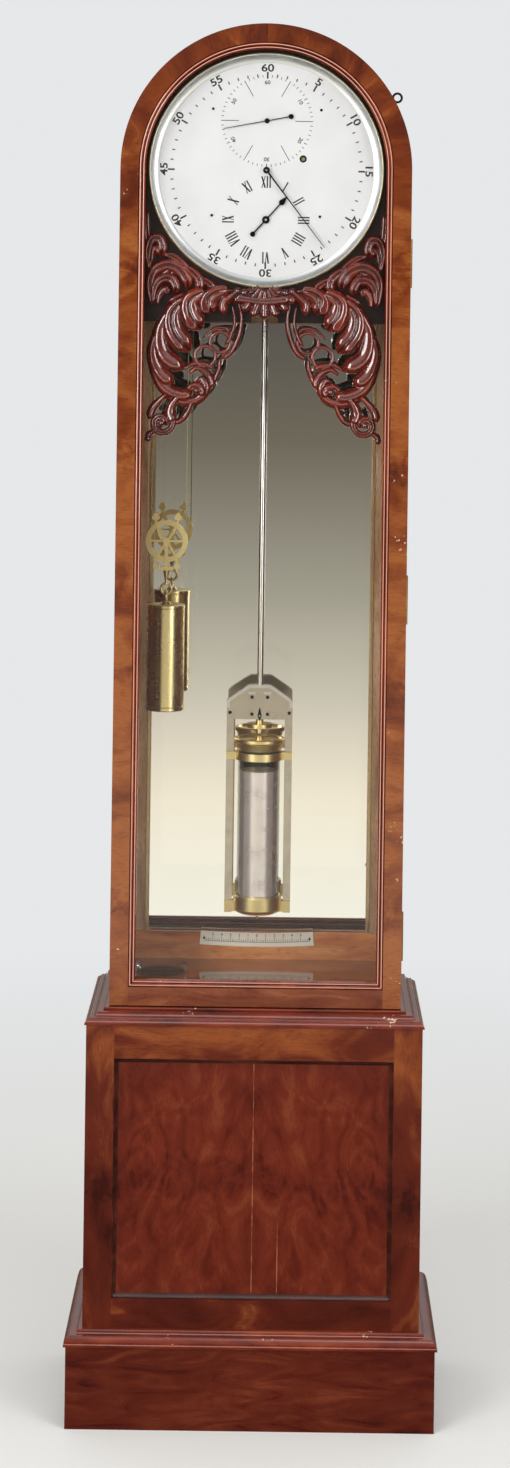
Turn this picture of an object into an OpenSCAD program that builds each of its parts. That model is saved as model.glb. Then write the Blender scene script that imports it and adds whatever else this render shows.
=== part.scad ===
// Longcase regulator clock: panelled base, arched trunk with one glazed door, mirror back,
// regulator movement, weight on a pulley and a mercury pendulum.
// Millimetres. The origin is on the floor in the middle of the footprint. The front faces -Y.

/* [Case] */
// Overall height from the floor to the top of the arch
case_h = 1815; // [1800:1:1850]
// Gap between the bezel and the inside of the arched trunk
bezel_margin = 19.3; // [18:0.1:25]
// Thickness of the trunk sides and of the bent arch
trunk_t = 16; // [12:1:18]
// How far the base stands out past the trunk, at each side and in front
base_step = 27.5; // [24:0.5:35]
// Thickness of the base boards
base_t = 18; // [14:1:22]
// How far the plinth boards stand out past the base, at each side and in front
plinth_step = 20; // [16:0.5:27]
// Height of the plinth boards
plinth_h = 106; // [95:1:112]
// Height of the moulding on the plinth boards
plinth_mould_h = 18; // [16:1:22]
// How far the plinth moulding stands past the plinth boards
plinth_lip = 3; // [1:0.5:5]
// Height of the shoulder moulding between base and trunk
shoulder_h = 18; // [17:1:22]
// How far the shoulder moulding stands past the base
shoulder_lip = 2.5; // [1:0.5:5]
// Thickness of the backboard
back_t = 12; // [9:1:14]
// Recess of the backboard into the back edges of the sides
back_in = 1; // [0.5:0.5:4]
// Height of the trunk floor above the top of the base boards
floor_rise = 41; // [37:1:50]
// Thickness of the trunk floor
floor_t = 16; // [12:1:18]

/* [Base panel] */
// Width of each stile beside the sunk panel
base_stile = 36.5; // [28:0.5:45]
// Height of the lower edge of the panel above the floor
panel_low = 162; // [150:1:180]
// Height of the rail above the panel
panel_top = 43; // [35:1:60]
// Depth of the panel face behind the frame
panel_sink = 6; // [4:0.5:8]
// Thickness of the panel
panel_t = 8; // [6:1:10]
// Width of the bead round the panel
panel_bead = 6; // [4:0.5:9]
// Height of the lower edge of the bottom rail above the floor
rail_low = 60; // [40:1:90]

/* [Door] */
// Thickness of the door frame
door_t = 22; // [21:0.5:24]
// Width of the flat face of the door frame
stile_w = 24; // [20:1:25]
// Width of the beaded moulding inside the door frame
bead_w = 9; // [7:0.5:9]
// Gap between the closed door and the case
door_gap = 0.4; // [0.3:0.1:1]
// Gap under the door
door_lift = 1; // [0.5:0.5:3]
// Thickness of the door glass
pane_t = 3; // [2:0.5:3]
// Depth of the glass behind the face of the door
pane_in = 10.2; // [9.5:0.1:11]
// Height of each hinge
hinge_h = 64; // [50:2:80]
// Radius of the hinge knuckles
knuckle_r = 2.5; // [2.3:0.1:3]
// Radius of the hinge pins
hinge_pin_r = 1.3; // [1:0.1:1.5]
// Thickness of the hinge leaves
leaf_t = 1.2; // [1:0.1:1.6]

/* [Mirror and trunk fittings] */
// Visible width of the wood border at each side of the mirror
border_w = 25.3; // [22:0.1:32]
// Height of the top edge of the mirror below the dial centre
mirror_drop = 202; // [195:1:215]
// Thickness of the mirror glass
mirror_t = 4; // [3:0.5:6]
// Thickness of the wood border on the mirror
border_t = 6; // [4:0.5:8]
// Height of the rail that carries the beat scale
beat_rail_h = 34; // [30:1:40]
// Length of the beat scale
beat_scale_w = 156; // [140:1:170]
// Height of the beat scale along its slope
beat_scale_h = 20; // [14:1:22]
// Thickness of the beat scale
beat_scale_t = 1.2; // [0.8:0.1:2]
// Radius of the glass dish under the weight
dish_r = 36.5; // [32:0.5:40]
// Height of the glass dish
dish_h = 10; // [8:1:14]
// Wall of the glass dish
dish_wall = 2; // [1.5:0.5:3]

/* [Dial] */
// Thickness of the dial plate
dial_t = 2; // [1.5:0.25:3]
// Depth of the face of the dial behind the face of the door
dial_set = 32; // [31:0.5:34]
// Outer radius of the bezel
bezel_r = 154.5; // [150:0.5:160]
// Width of the bezel from its outer edge to the visible dial
bezel_w = 13; // [11:0.5:16]
// Thickness of the bezel's rim round the dial plate
bezel_rim = 2.3; // [1.5:0.1:3]
// Depth of the bezel
bezel_t = 10; // [8:0.5:10]
// Thickness of the mask board behind the dial
mask_t = 8; // [5:0.5:9]
// Height of the lower edge of the mask board below the dial centre
mask_drop = 200; // [190:1:205]
// Distance of the seconds and hour centres from the dial centre
sub_dial = 65; // [64:0.5:66]
// Length of the minute hand from its centre
minute_len = 127; // [110:1:132]
// Length of the hour hand from its centre
hour_len = 41.5; // [36:0.5:46]
// Length of the hour hand's tail
hour_tail = 25.5; // [18:0.5:30]
// Length of the seconds hand from its centre
second_len = 58; // [50:1:58]
// Length of the seconds hand's tail
second_tail = 32; // [24:1:40]
// Thickness of the hands
hand_t = 0.8; // [0.5:0.1:1.2]
// Minutes past the hour that the hands show
show_minute = 23.72; // [0:0.01:59.99]
// Hour that the hands show
show_hour = 1; // [0:1:11]
// Seconds that the hands show
show_second = 43.2; // [0:0.1:59.9]

/* [Carved apron] */
// Thickness of the pierced ground of the carving
apron_t = 9; // [6:0.5:9]
// Height of the raised ribs on the carving
relief = 5; // [3:0.5:5]

/* [Movement] */
// Sideways distance of the winding arbor from the dial centre
wind_x = 48; // [47:0.5:50]
// Height of the winding arbor above the dial centre
wind_z = 15.6; // [15:0.2:17]
// Distance between the centre arbor and the third arbor
centre_third = 36; // [35.5:0.1:36.5]
// Distance between the third arbor and the escape arbor
third_escape = 32.4; // [32:0.1:33]
// Distance between the centre arbor and the motion wheel
centre_motion = 38.4; // [38:0.1:39]
// Distance between the motion wheel and the hour arbor
motion_hour = 37.5; // [37:0.1:38]
// Height of the pallet arbor and of the suspension above the dial centre
susp_rise = 101; // [99:0.5:103]
// Thickness of the movement plates
plate_t = 3; // [2.5:0.5:4]
// Distance between the movement plates
plate_gap = 51; // [50:0.5:54]
// Room for the motion wheels between the mask board's face and the front plate
motion_room = 32; // [31:0.5:36]
// Distance of the back plate in front of the pendulum rod
crutch_room = 26; // [25:0.5:30]
// Height of the movement plates below the dial centre
plate_low = 85; // [84:1:90]
// Height of the movement plates above the dial centre
plate_high = 115; // [113:1:118]
// Thickness of the wheels
wheel_t = 2; // [1.5:0.25:2.5]
// Radius of the train arbors
arbor_r = 1.5; // [1.2:0.1:1.8]
// Radius of the barrel
barrel_r = 13; // [12:0.5:13.5]
// Radius of the guide pulley's groove
guide_r = 13.7; // [12:0.1:14.5]
// Running clearance of a pivot in its hole
run_gap = 0.05; // [0.02:0.01:0.08]
// Thickness of the seatboard
seat_t = 15; // [12:1:20]

/* [Pendulum] */
// Distance of the pendulum rod in front of the mirror
pend_set = 52; // [50:0.5:54]
// Length from the suspension to the middle of the mercury
pend_len = 994; // [985:1:1000]
// Radius of the pendulum rod
rod_r = 4; // [3:0.25:5]
// Gap between the glass jar and each side bar of the frame
frame_gap = 6; // [5:0.5:9]
// Width of each side bar of the frame
bar_w = 10; // [7:0.5:11]
// Thickness of the side bars from front to back
bar_t = 6; // [4:0.5:10]
// Thickness of the frame's head from front to back
head_t = 12; // [10:0.5:16]
// Height of the frame's head
head_h = 46.7; // [42:0.1:52]
// Outer radius of the glass jar
jar_r = 28.5; // [26:0.5:29]
// Height of the glass jar
jar_h = 205; // [195:1:210]
// Wall of the glass jar
jar_wall = 2; // [1.5:0.25:3]
// Height of the mercury in the jar
mercury_h = 174; // [160:1:180]
// Radius of the rating disc
rating_r = 17.6; // [14:0.2:20]
// Gap between the pointer under the bob and the top of the beat rail
pointer_gap = 27; // [24:1:32]

/* [Weight] */
// Distance of the weight's line in front of the back plate
weight_set = 19; // [17:0.5:22]
// Gap between the weight and the left side of the trunk
weight_gap = 21.4; // [20:0.2:24]
// Gap between the line and the edge of the movement plates
line_gap = 3.5; // [3:0.5:6]
// Height of the pulley centre below the dial centre, as the clock stands
weight_drop = 494; // [460:1:520]
// Radius of the weight
weight_r = 25.4; // [22:0.2:26]
// Length of the weight
weight_len = 144.5; // [130:0.5:160]
// Distance from the pulley centre down to the top of the weight
weight_hang = 81; // [81:1:90]
// Radius of the gut line's centre round the weight pulley
fall_r = 25.5; // [24:0.1:26]
// Radius of the gut line
gut_r = 0.7; // [0.5:0.05:0.9]

/* [Hidden] */
$fn = 96;

wood = [0.50, 0.23, 0.13];
dark_wood = [0.28, 0.10, 0.07];
brass = [0.80, 0.66, 0.33];
steel = [0.68, 0.68, 0.70];
blued = [0.10, 0.11, 0.16];
silvered = [0.88, 0.88, 0.85];

// Clearance between still pieces that are fitted to each other
fit = 0.2;

// The case is built round the dial, the movement and the pendulum
dial_r = bezel_r - bezel_rim - fit;
bezel_in_r = bezel_r - bezel_w;
inner_r = bezel_r + bezel_margin;
arch_in_r = inner_r + fit;
arch_r = arch_in_r + trunk_t;
trunk_w = 2 * arch_r;
base_w = trunk_w + 2 * base_step;
plinth_w = base_w + 2 * plinth_step;
panel_w = base_w - 2 * base_stile;
mirror_half = inner_r - border_w;
frame_w = 2 * (jar_r + frame_gap + bar_w);
trunk_d = dial_set + dial_t + motion_room + plate_gap + 2 * plate_t + crutch_room + pend_set
    + mirror_t + back_t + back_in;

// Planes of the case from front to back
case_depth = trunk_d + base_step + plinth_step + plinth_lip;
y_back = case_depth / 2;
y_plinth = -y_back + plinth_lip;
y_base = y_plinth + plinth_step;
y_door = y_base + base_step;
y_case = y_door + door_t + door_gap;
y_board = y_back - back_in - back_t;
y_mirror = y_board - mirror_t;
y_dial = y_door + dial_set;
y_mask = y_dial + dial_t;
y_pend = y_mirror - pend_set;

// Heights. The trunk hangs from the arch as far as the pendulum reaches, and the base is the rest.
jar_foot = 4;
cup_h = 18.5;
pointer_len = 5.5;
dial_z = case_h - arch_r;
susp_z = dial_z + susp_rise;
jar_z = susp_z - pend_len - mercury_h / 2 - jar_foot;
floor_z = jar_z - cup_h - pointer_len - pointer_gap - beat_rail_h;
base_h = floor_z - floor_rise;
trunk_z = base_h + shoulder_h;
door_z = trunk_z + door_lift;
mirror_z = dial_z - mirror_drop;
seat_z = dial_z - plate_low;
pulley_z = dial_z - weight_drop;
panel_z1 = base_h - panel_top;

// Planes of the movement
y_plate_back = y_pend - crutch_room - plate_t;
y_weight = y_plate_back - weight_set;
y_plate_front = y_plate_back - plate_gap;
y_front_face = y_plate_front - plate_t;
y_great = y_plate_front + 4.5;
y_ratchet = y_great + wheel_t + 0.7;
y_barrel = y_ratchet + 2;
y_centre = y_plate_back - 5;
y_third = y_plate_front + 16;
y_escape = y_plate_front + 40;
y_cannon = y_front_face - 8.5;
y_hour = y_cannon - 5;

// Arbor places on the dial's plane, sideways and up from the dial centre
function corner(d1, d2, base) = let (up = (d1 * d1 - d2 * d2 + base * base) / (2 * base))
    [sqrt(d1 * d1 - up * up), up];
third_xy = corner(centre_third, third_escape, sub_dial);
motion_xy = corner(centre_motion, motion_hour, sub_dial);
centre_p = [0, 0];
barrel_p = [wind_x, wind_z];
third_p = [-third_xy[0], third_xy[1]];
escape_p = [0, sub_dial];
motion_p = [motion_xy[0], -motion_xy[1]];
hour_p = [0, -sub_dial];
pallet_p = [0, susp_rise];
wind_r = barrel_r + gut_r;
lead_r = guide_r + gut_r;
weight_off = inner_r - weight_gap - weight_r;
plate_half = weight_off - fall_r - line_gap;
fall_x = -weight_off + fall_r;
anchor_x = -weight_off - fall_r;
guide_p = [fall_x + lead_r, wind_z + wind_r - lead_r];

// Tooth counts: 144 to 12, 80 to 10 and 75 to 10 give one turn of the seconds hand a minute,
// 32 to 96 and 20 to 80 give the hour hand one turn in twelve of the minute hand
great_n = 144;
centre_leaves = 12;
centre_n = 80;
third_leaves = 10;
third_n = 75;
escape_leaves = 10;
escape_n = 30;
cannon_n = 32;
motion_n = 96;
motion_leaves = 20;
hour_n = 80;
great_m = 2 * norm(barrel_p) / (great_n + centre_leaves);
centre_m = 2 * centre_third / (centre_n + third_leaves);
third_m = 2 * third_escape / (third_n + escape_leaves);
cannon_m = 2 * centre_motion / (cannon_n + motion_n);
hour_m = 2 * motion_hour / (hour_n + motion_leaves);
escape_drop = susp_rise - sub_dial;
escape_r = escape_drop / 1.44;
wheel_add = 0.85;
wheel_ded = 1.35;
leaf_add = 0.45;
leaf_ded = 1.5;

// Levels of the pendulum's bob, down from the suspension
jar_top = jar_z + jar_h;
lid_h = 19;
lid_r = frame_w / 2 - bar_w - 0.3;
rating_z = jar_top + lid_h + 5;
rating_h = 17;
head_z = rating_z + rating_h + 1;

// Shapes shared by several pieces
function arc(cx, cy, r, a0, a1, n) =
    [for (i = [0:n]) let (a = a0 + (a1 - a0) * i / n) [cx + r * cos(a), cy + r * sin(a)]];
function backwards(list) = [for (i = [len(list) - 1:-1:0]) list[i]];
function heading(a, b) = atan2(b[1] - a[1], b[0] - a[0]);
function teeth(n, m, add, ded, phase) = [for (i = [0:n - 1])
    for (p = [[-0.24, -ded], [-0.10, add], [0.10, add], [0.24, -ded]])
        let (a = phase + 360 * (i + p[0]) / n, r = m * (n / 2 + p[1])) [r * cos(a), r * sin(a)]];

// Outline of a strip along a list of points, whose width goes from w0 to w1
function strip(pts, w0, w1) = let (n = len(pts) - 1, side = [for (i = [0:n])
    let (d = pts[min(i + 1, n)] - pts[max(i - 1, 0)])
        [-d[1], d[0]] / norm(d) * (w0 + (w1 - w0) * i / n) / 2])
            concat([for (i = [0:n]) pts[i] + side[i]], [for (i = [n:-1:0]) pts[i] - side[i]]);

module block(lo, hi) { translate(lo) cube(hi - lo); }
module along_x(x0, x1) { translate([x0, 0, 0]) rotate([90, 0, 90]) linear_extrude(x1 - x0) children(); }
module along_y(y0, y1) { translate([0, y1, 0]) rotate([90, 0, 0]) linear_extrude(y1 - y0) children(); }
module along_z(z0, z1) { translate([0, 0, z0]) linear_extrude(z1 - z0) children(); }
module both_sides() { children(); mirror([1, 0, 0]) children(); }
module on_dial(p) { translate([p[0], 0, dial_z + p[1]]) children(); }
module rod_y(r, y0, y1) { translate([0, y0, 0]) rotate([-90, 0, 0]) cylinder(r = r, h = y1 - y0); }
// Turns a profile of radius and depth round the Y axis
module turned_y() { rotate([-90, 0, 0]) rotate_extrude() children(); }
// Ring of round section in the plane of the dial, over the stated angles
module ring_y(big_r, small_r, a0, a1) {
    rotate([90, 0, 0]) rotate([0, 0, a0]) rotate_extrude(angle = a1 - a0)
        translate([big_r, 0]) circle(small_r, $fn = 32);
}
// Upper half of a ring round the middle of the arch, from depth y0 to y1
module arch_ring(r0, r1, y0, y1) {
    translate([0, 0, dial_z]) rotate([90, 0, 0]) rotate_extrude(angle = 180)
        translate([r0, -y1]) square([r1 - r0, y1 - y0]);
}
// Arch-topped outline of radius r down to height z0
module arch_outline(r, z0) {
    translate([0, dial_z]) intersection() {
        circle(r);
        translate([-r, 0]) square([2 * r, r]);
    }
    translate([-r, z0]) square([2 * r, dial_z - z0]);
}
// Moulding mitred round the front and both sides of a box of width w whose front is at y0
module mitred_wrap(w, y0, profile) {
    far = 80;
    last = len(profile) - 1;
    intersection() {
        along_y(y0 - far, y_back)
            polygon(concat([for (p = profile) [w / 2 + p[0], p[1]]],
                backwards([for (p = profile) [-w / 2 - p[0], p[1]]])));
        along_x(-w / 2 - far, w / 2 + far)
            polygon(concat([for (p = profile) [y0 - p[0], p[1]]],
                [[y_back, profile[last][1]], [y_back, profile[0][1]]]));
    }
}
// Hub and spokes inside a wheel's rim
module crossings(rim_r, count, spoke_w, hub_r) {
    circle(hub_r);
    for (i = [0:count - 1])
        rotate(360 * i / count) translate([0, -spoke_w / 2]) square([rim_r + 0.4, spoke_w]);
}
module toothed_wheel(n, m, phase, y0, t, rim_w, spoke_count, hub_r) {
    rim_r = m * (n / 2 - wheel_ded) - rim_w;
    along_y(y0, y0 + t) {
        difference() {
            polygon(teeth(n, m, wheel_add, wheel_ded, phase));
            circle(rim_r);
        }
        crossings(rim_r, spoke_count, rim_w * 1.1, hub_r);
    }
}
module pinion(n, m, phase, y0, y1) {
    along_y(y0, y1) polygon(teeth(n, m, leaf_add, leaf_ded, phase));
}
function leaf_phase(wheel_at, leaf_at, n) = heading(wheel_at, leaf_at) + 180 + 180 / n;

// Case
module plinth_boards() {
    color(dark_wood) {
        block([-plinth_w / 2, y_plinth, 0], [plinth_w / 2, y_base, plinth_h]);
        both_sides() block([base_w / 2, y_base, 0], [plinth_w / 2, y_back, plinth_h]);
    }
}
module plinth_moulding() {
    z = plinth_h;
    top = z + plinth_mould_h;
    out = plinth_step + plinth_lip;
    round_r = plinth_mould_h - 9;
    profile = concat([[0, z], [out, z], [out, z + 3]],
        arc(out - round_r - 1, z + 4, round_r, 0, 90, 6), [[8, z + 4 + round_r]],
        arc(4, top - 3.5, 3, -10, 90, 5), [[0, top]]);
    color(dark_wood) difference() {
        mitred_wrap(base_w, y_base, profile);
        block([-base_w / 2, y_base, 0], [base_w / 2, y_back + 1, base_h]);
    }
}
module base_sides() {
    color(wood) both_sides()
        block([base_w / 2 - base_t, y_base + base_t, 0], [base_w / 2, y_back, base_h]);
}
module base_frame() {
    color(wood) {
        both_sides() block([panel_w / 2, y_base, 0], [base_w / 2, y_base + base_t, base_h]);
        block([-panel_w / 2, y_base, panel_z1], [panel_w / 2, y_base + base_t, base_h]);
        block([-panel_w / 2, y_base, rail_low], [panel_w / 2, y_base + base_t, panel_low]);
    }
}
module base_panel() {
    color(wood) block([-panel_w / 2 + fit, y_base + panel_sink, panel_low],
        [panel_w / 2 - fit, y_base + panel_sink + panel_t, panel_z1 - fit]);
}
module base_bead() {
    hollow = arc(panel_bead, 1, panel_bead - 1.5, 90, 180, 6);
    reach = [for (p = hollow) [p[0], y_base + p[1] * panel_sink / panel_bead]];
    half_z = (panel_z1 - panel_low) / 2;
    mid_z = (panel_z1 + panel_low) / 2;
    past = 2;
    cut_x = concat([[panel_w / 2 - panel_bead, y_base + panel_sink + past]],
        [for (p = reach) [panel_w / 2 - p[0], p[1]]], [[panel_w / 2 - 1, y_base - past]]);
    cut_z = concat([[y_base + panel_sink + past, half_z - panel_bead]],
        [for (p = reach) [p[1], half_z - p[0]]], [[y_base - past, half_z - 1]]);
    color(wood) difference() {
        block([-panel_w / 2, y_base + 0.5, panel_low], [panel_w / 2, y_base + panel_sink, panel_z1]);
        intersection() {
            along_z(0, base_h) polygon(concat(cut_x, backwards([for (p = cut_x) [-p[0], p[1]]])));
            along_x(-panel_w / 2, panel_w / 2) translate([0, mid_z])
                polygon(concat(cut_z, backwards([for (p = cut_z) [p[0], -p[1]]])));
        }
    }
}
module shoulder_moulding() {
    z = base_h;
    top = z + shoulder_h;
    inner = -base_step;
    profile = concat([[shoulder_lip, z], [shoulder_lip, z + 1]],
        arc(-3.5, z + 0.5, 6, 5, 80, 5), arc(-5.5, z + 7.5, 1.3, 0, 100, 4),
        arc(-7, top - 3, shoulder_h - 11.5, 270, 190, 6), arc(inner + 4.5, top - 2.4, 2.3, -20, 90, 5),
        [[inner, top]]);
    color(wood) difference() {
        mitred_wrap(base_w, y_base, profile);
        block([-trunk_w / 2, y_case, z - 1], [trunk_w / 2, y_back + 1, top + 1]);
    }
}
module trunk_sides() {
    color(wood) difference() {
        both_sides() block([arch_in_r, y_case, base_h], [arch_r, y_back, dial_z]);
        for (z = hinge_heights) hinge_pocket(z, y_case, leaf_t);
    }
}
module trunk_arch() { color(wood) arch_ring(arch_in_r, arch_r, y_case, y_back); }
module trunk_floor() {
    color(wood) block([-inner_r, y_case, floor_z - floor_t], [inner_r, y_board, floor_z]);
}
module backboard() {
    low = 12;
    color(dark_wood) along_y(y_board, y_board + back_t) {
        arch_outline(inner_r, base_h);
        translate([-base_w / 2 + base_t + fit, low])
            square([base_w - 2 * base_t - 2 * fit, base_h - low]);
    }
}
mirror_lap = 5.5;
module mirror_glass() {
    color([0.75, 0.78, 0.80])
        block([-mirror_half - mirror_lap, y_mirror, floor_z + mirror_lap],
            [mirror_half + mirror_lap, y_board, mirror_z + mirror_lap]);
}
module mirror_border() {
    y0 = y_mirror - border_t;
    seat = mirror_half + mirror_lap + fit;
    color(wood) {
        both_sides() along_z(floor_z, mirror_z + 20)
            polygon([[mirror_half, y0], [inner_r, y0], [inner_r, y_board], [seat, y_board],
                [seat, y_mirror], [mirror_half, y_mirror]]);
        block([-mirror_half, y0, mirror_z], [mirror_half, y_mirror, mirror_z + 20]);
    }
}
rail_front = 24;
rail_slope = 14;
rail_face = 15;
module beat_rail() {
    y1 = y_mirror - border_t;
    y0 = y1 - rail_front + 6;
    color(wood) along_x(-inner_r, inner_r)
        polygon([[y0, floor_z], [y1, floor_z], [y1, floor_z + beat_rail_h],
            [y0 + rail_slope, floor_z + beat_rail_h], [y0, floor_z + rail_face]]);
}
// Puts a flat plate on the sloping face of the beat rail: x stays, up runs up the slope
module on_beat_slope() {
    y1 = y_mirror - border_t - rail_front + 6;
    lean = atan2(rail_slope, beat_rail_h - rail_face);
    translate([0, y1, floor_z + rail_face]) rotate([-lean, 0, 0]) children();
}
module beat_scale() {
    slope_len = norm([rail_slope, beat_rail_h - rail_face]);
    big_r = pend_len + 120;
    span = asin(beat_scale_w / 2 / big_r);
    low = (slope_len - beat_scale_h) / 2;
    mid = big_r + low;
    color(silvered) on_beat_slope() rotate([90, 0, 0]) linear_extrude(beat_scale_t)
        polygon(concat(arc(0, mid, big_r, 270 - span, 270 + span, 24),
            arc(0, mid, big_r - beat_scale_h, 270 + span, 270 - span, 24)));
}
module glass_dish() {
    color([0.8, 0.88, 0.88, 0.4]) translate([-weight_off, y_weight, floor_z])
        rotate_extrude()
            polygon([[0, 0], [dish_r - 5, 0], [dish_r, 4], [dish_r, dish_h],
                [dish_r - dish_wall, dish_h], [dish_r - dish_wall, 5], [dish_r - 6, dish_wall],
                [0, dish_wall]]);
}
module wall_eye() {
    angle = 32;
    reach = 19.5;
    eye_r = 6;
    wire_r = 1.6;
    y_eye = y_back - 6;
    color(blued) translate([0, y_eye, dial_z]) rotate([0, -angle, 0]) {
        translate([arch_r, 0, 0]) rotate([0, 90, 0]) cylinder(r = wire_r, h = reach - eye_r);
        translate([arch_r + reach, 0, 0]) ring_y(eye_r, wire_r, 0, 360);
    }
}

// Dial
module mask_board() {
    slot_half = 17;
    color(dark_wood) along_y(y_mask, y_mask + mask_t) difference() {
        arch_outline(inner_r, dial_z - mask_drop);
        translate([0, dial_z]) circle(dial_r - 4);
        translate([-slot_half, dial_z - mask_drop - 1]) square([2 * slot_half, 60]);
    }
}
module dial() {
    color(silvered) along_y(y_dial, y_mask) translate([0, dial_z]) difference() {
        circle(dial_r);
        circle(3.5);
        translate(escape_p) circle(2.6);
        translate(hour_p) circle(4);
        translate(barrel_p) circle(3.4);
    }
}
module bezel() {
    y0 = y_mask - bezel_t;
    color(silvered) translate([0, 0, dial_z]) turned_y()
        polygon([[bezel_in_r, y_dial - fit], [bezel_in_r, y_dial - 1.6], [bezel_r - 3, y0 + 1.5],
            [bezel_r - 2, y0], [bezel_r - 0.6, y0], [bezel_r, y0 + 1], [bezel_r, y_mask],
            [dial_r + fit, y_mask], [dial_r + fit, y_dial - fit]]);
}
foot_x = 71;
foot_high = 80;
foot_low = 60;
dial_feet = [[-foot_x, foot_high], [foot_x, foot_high], [-foot_x, -foot_low], [foot_x, -foot_low]];
module brass_screws() {
    color(brass) {
        for (p = dial_feet) on_dial(p) rod_y(1.8, y_dial - 0.8, y_dial);
        both_sides() on_beat_slope() translate([beat_scale_w / 2 - 6, -beat_scale_t, 13.5])
            rod_y(1.6, -0.7, 0);
    }
}

// Carved apron, one half, in the plane of the dial with the dial centre at the origin, drawn for a
// bezel of radius 154.5 and carved to the size that the bezel has.
// Each leaf is a curve from root over a control point to its tip, and the widths at root and tip.
plume_leaves = [
    [[-46, -161], [-138, -153], [-143, -236], 8, 11], [[-143, -236], [-140, -306], [-90, -304], 11, 9],
    [[-60, -165], [-84, -167], [-71, -185], 18, 10], [[-84, -168], [-112, -174], [-79, -206], 26, 12],
    [[-106, -174], [-134, -200], [-92, -235], 28, 12], [[-128, -196], [-140, -245], [-97, -259], 28, 11],
    [[-138, -225], [-146, -275], [-66, -268], 22, 8], [[-140, -255], [-136, -300], [-92, -290], 20, 12]];
spray_leaves = [
    [[-148, -118], [-128, -150], [-62, -158], 9, 5], [[-150, -112], [-150, -92], [-132, -98], 7, 9],
    [[-134, -98], [-120, -106], [-134, -116], 9, 6], [[-146, -128], [-158, -170], [-124, -174], 8, 9],
    [[-122, -172], [-108, -164], [-122, -156], 8, 6], [[-120, -144], [-96, -150], [-82, -162], 10, 5]];
tail_leaves = [
    [[-118, -304], [-124, -318], [-112, -326], 12, 8], [[-126, -300], [-146, -316], [-138, -334], 14, 12],
    [[-138, -340], [-148, -346], [-150, -352], 6, 9]];
scroll_leaves = [
    [[-34, -180], [-26, -222], [-60, -243], 5.5, 4.5], [[-62, -250], [-60, -268], [-68, -284], 4.5, 5]];
open_rings = [[-57.2, -228.3], [-77.2, -246.8]];
curls = [[-131, -332, 17], [-87.6, -289, 13], [-139, -106, 8]];
ring_tube = 2.2;
ring_r = 13.3;
carve = bezel_r / 154.5;
function carved(list) = [for (e = list) [for (p = e) p * carve]];
function bend(a, b, c, n) =
    [for (i = [0:n]) let (t = i / n) (1 - t) * (1 - t) * a + 2 * t * (1 - t) * b + t * t * c];
module leaf(l) {
    polygon(strip(bend(l[0], l[1], l[2], 9), l[3], l[4]));
    translate(l[2]) circle(l[4] / 2);
}
module leaf_ribs(l) {
    along = l[1] - l[0];
    off = [-along[1], along[0]] / norm(along) * l[3] / 4;
    for (s = [-1, 1]) polygon(strip(bend(l[0] + s * off, l[1] + s * off, l[2] + s * off / 2, 9),
        l[3] / 5, l[4] / 4));
}
module apron_half(y0) {
    along_y(y0, y_mask) {
        for (l = carved(concat(plume_leaves, spray_leaves, tail_leaves))) leaf(l);
        for (c = carved(curls)) translate([c[0], c[1]]) circle(c[2]);
    }
    along_y(y0 + 2, y_mask - 2) for (l = carved(scroll_leaves)) leaf(l);
    along_y(y0 - relief, y0) for (l = carved(concat(plume_leaves, spray_leaves))) leaf_ribs(l);
    for (c = carved(curls)) translate([c[0], y0, c[1]]) ring_y(c[2] - 3, 2.6, 0, 360);
    for (p = carved(open_rings)) translate([p[0], y0 + apron_t / 2, p[1]])
        ring_y(ring_r * carve, ring_tube, 0, 360);
}
module apron() {
    y0 = y_mask - apron_t;
    shell_z = -150 * carve;
    shell_r = 47 * carve;
    color(dark_wood) on_dial([0, 0]) difference() {
        union() {
            both_sides() apron_half(y0);
            along_y(y0, y_mask) polygon(concat(arc(0, shell_z, shell_r, 212, 328, 16),
                arc(0, 0, bezel_r + 1.5, 283, 257, 6)));
            for (i = [-4:4]) translate([0, y0, shell_z]) rotate([0, 13 * i + 180, 0])
                translate([0, 0, 12]) cylinder(r1 = 1.6, r2 = 3.8, h = shell_r - 11);
        }
        rod_y(bezel_r + fit, y0 - relief - 3, y_mask + 1);
    }
}

// Movement
guide_arbor_r = 1.25;
wind_arbor_r = 3;
post_r = 2;
module movement_plates() {
    bores = [[centre_p, arbor_r], [third_p, arbor_r], [escape_p, arbor_r], [pallet_p, arbor_r],
        [barrel_p, wind_arbor_r]];
    color(brass) for (y = [y_front_face, y_plate_back])
        along_y(y, y + plate_t) translate([0, dial_z]) difference() {
            translate([-plate_half, -plate_low]) square([2 * plate_half, plate_low + plate_high]);
            for (b = bores) translate(b[0]) circle(b[1] + run_gap);
        }
}
module pillars() {
    corner_in = 10;
    pillar_r = 5;
    color(brass) {
        for (x = [-1, 1], z = [-plate_low + corner_in, plate_high - corner_in])
            on_dial([x * (plate_half - corner_in), z]) rod_y(pillar_r, y_plate_front, y_plate_back);
        for (p = dial_feet) on_dial(p) rod_y(3, y_mask, y_front_face);
        on_dial(guide_p) rod_y(guide_arbor_r, y_plate_front, y_plate_back);
        on_dial(hour_p) rod_y(post_r, y_hour - 12, y_front_face);
        on_dial(motion_p) rod_y(post_r, y_hour - 5, y_front_face);
    }
}
module seatboard() {
    y0 = y_front_face - 6;
    y1 = y_pend - 15;
    cheek = 15;
    cheek_h = 2 * seat_t;
    color(wood) difference() {
        union() {
            block([-inner_r, y0, seat_z - seat_t], [inner_r, y1, seat_z]);
            both_sides() block([inner_r - cheek, y0, seat_z - seat_t - cheek_h],
                [arch_in_r, y1, seat_z - seat_t]);
        }
        translate([fall_x, y_weight, seat_z - seat_t - 1]) cylinder(r = 4, h = seat_t + 2);
    }
}
cheek_in = 4.25;
cheek_t = 4;
susp_pin_r = 1.5;
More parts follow.
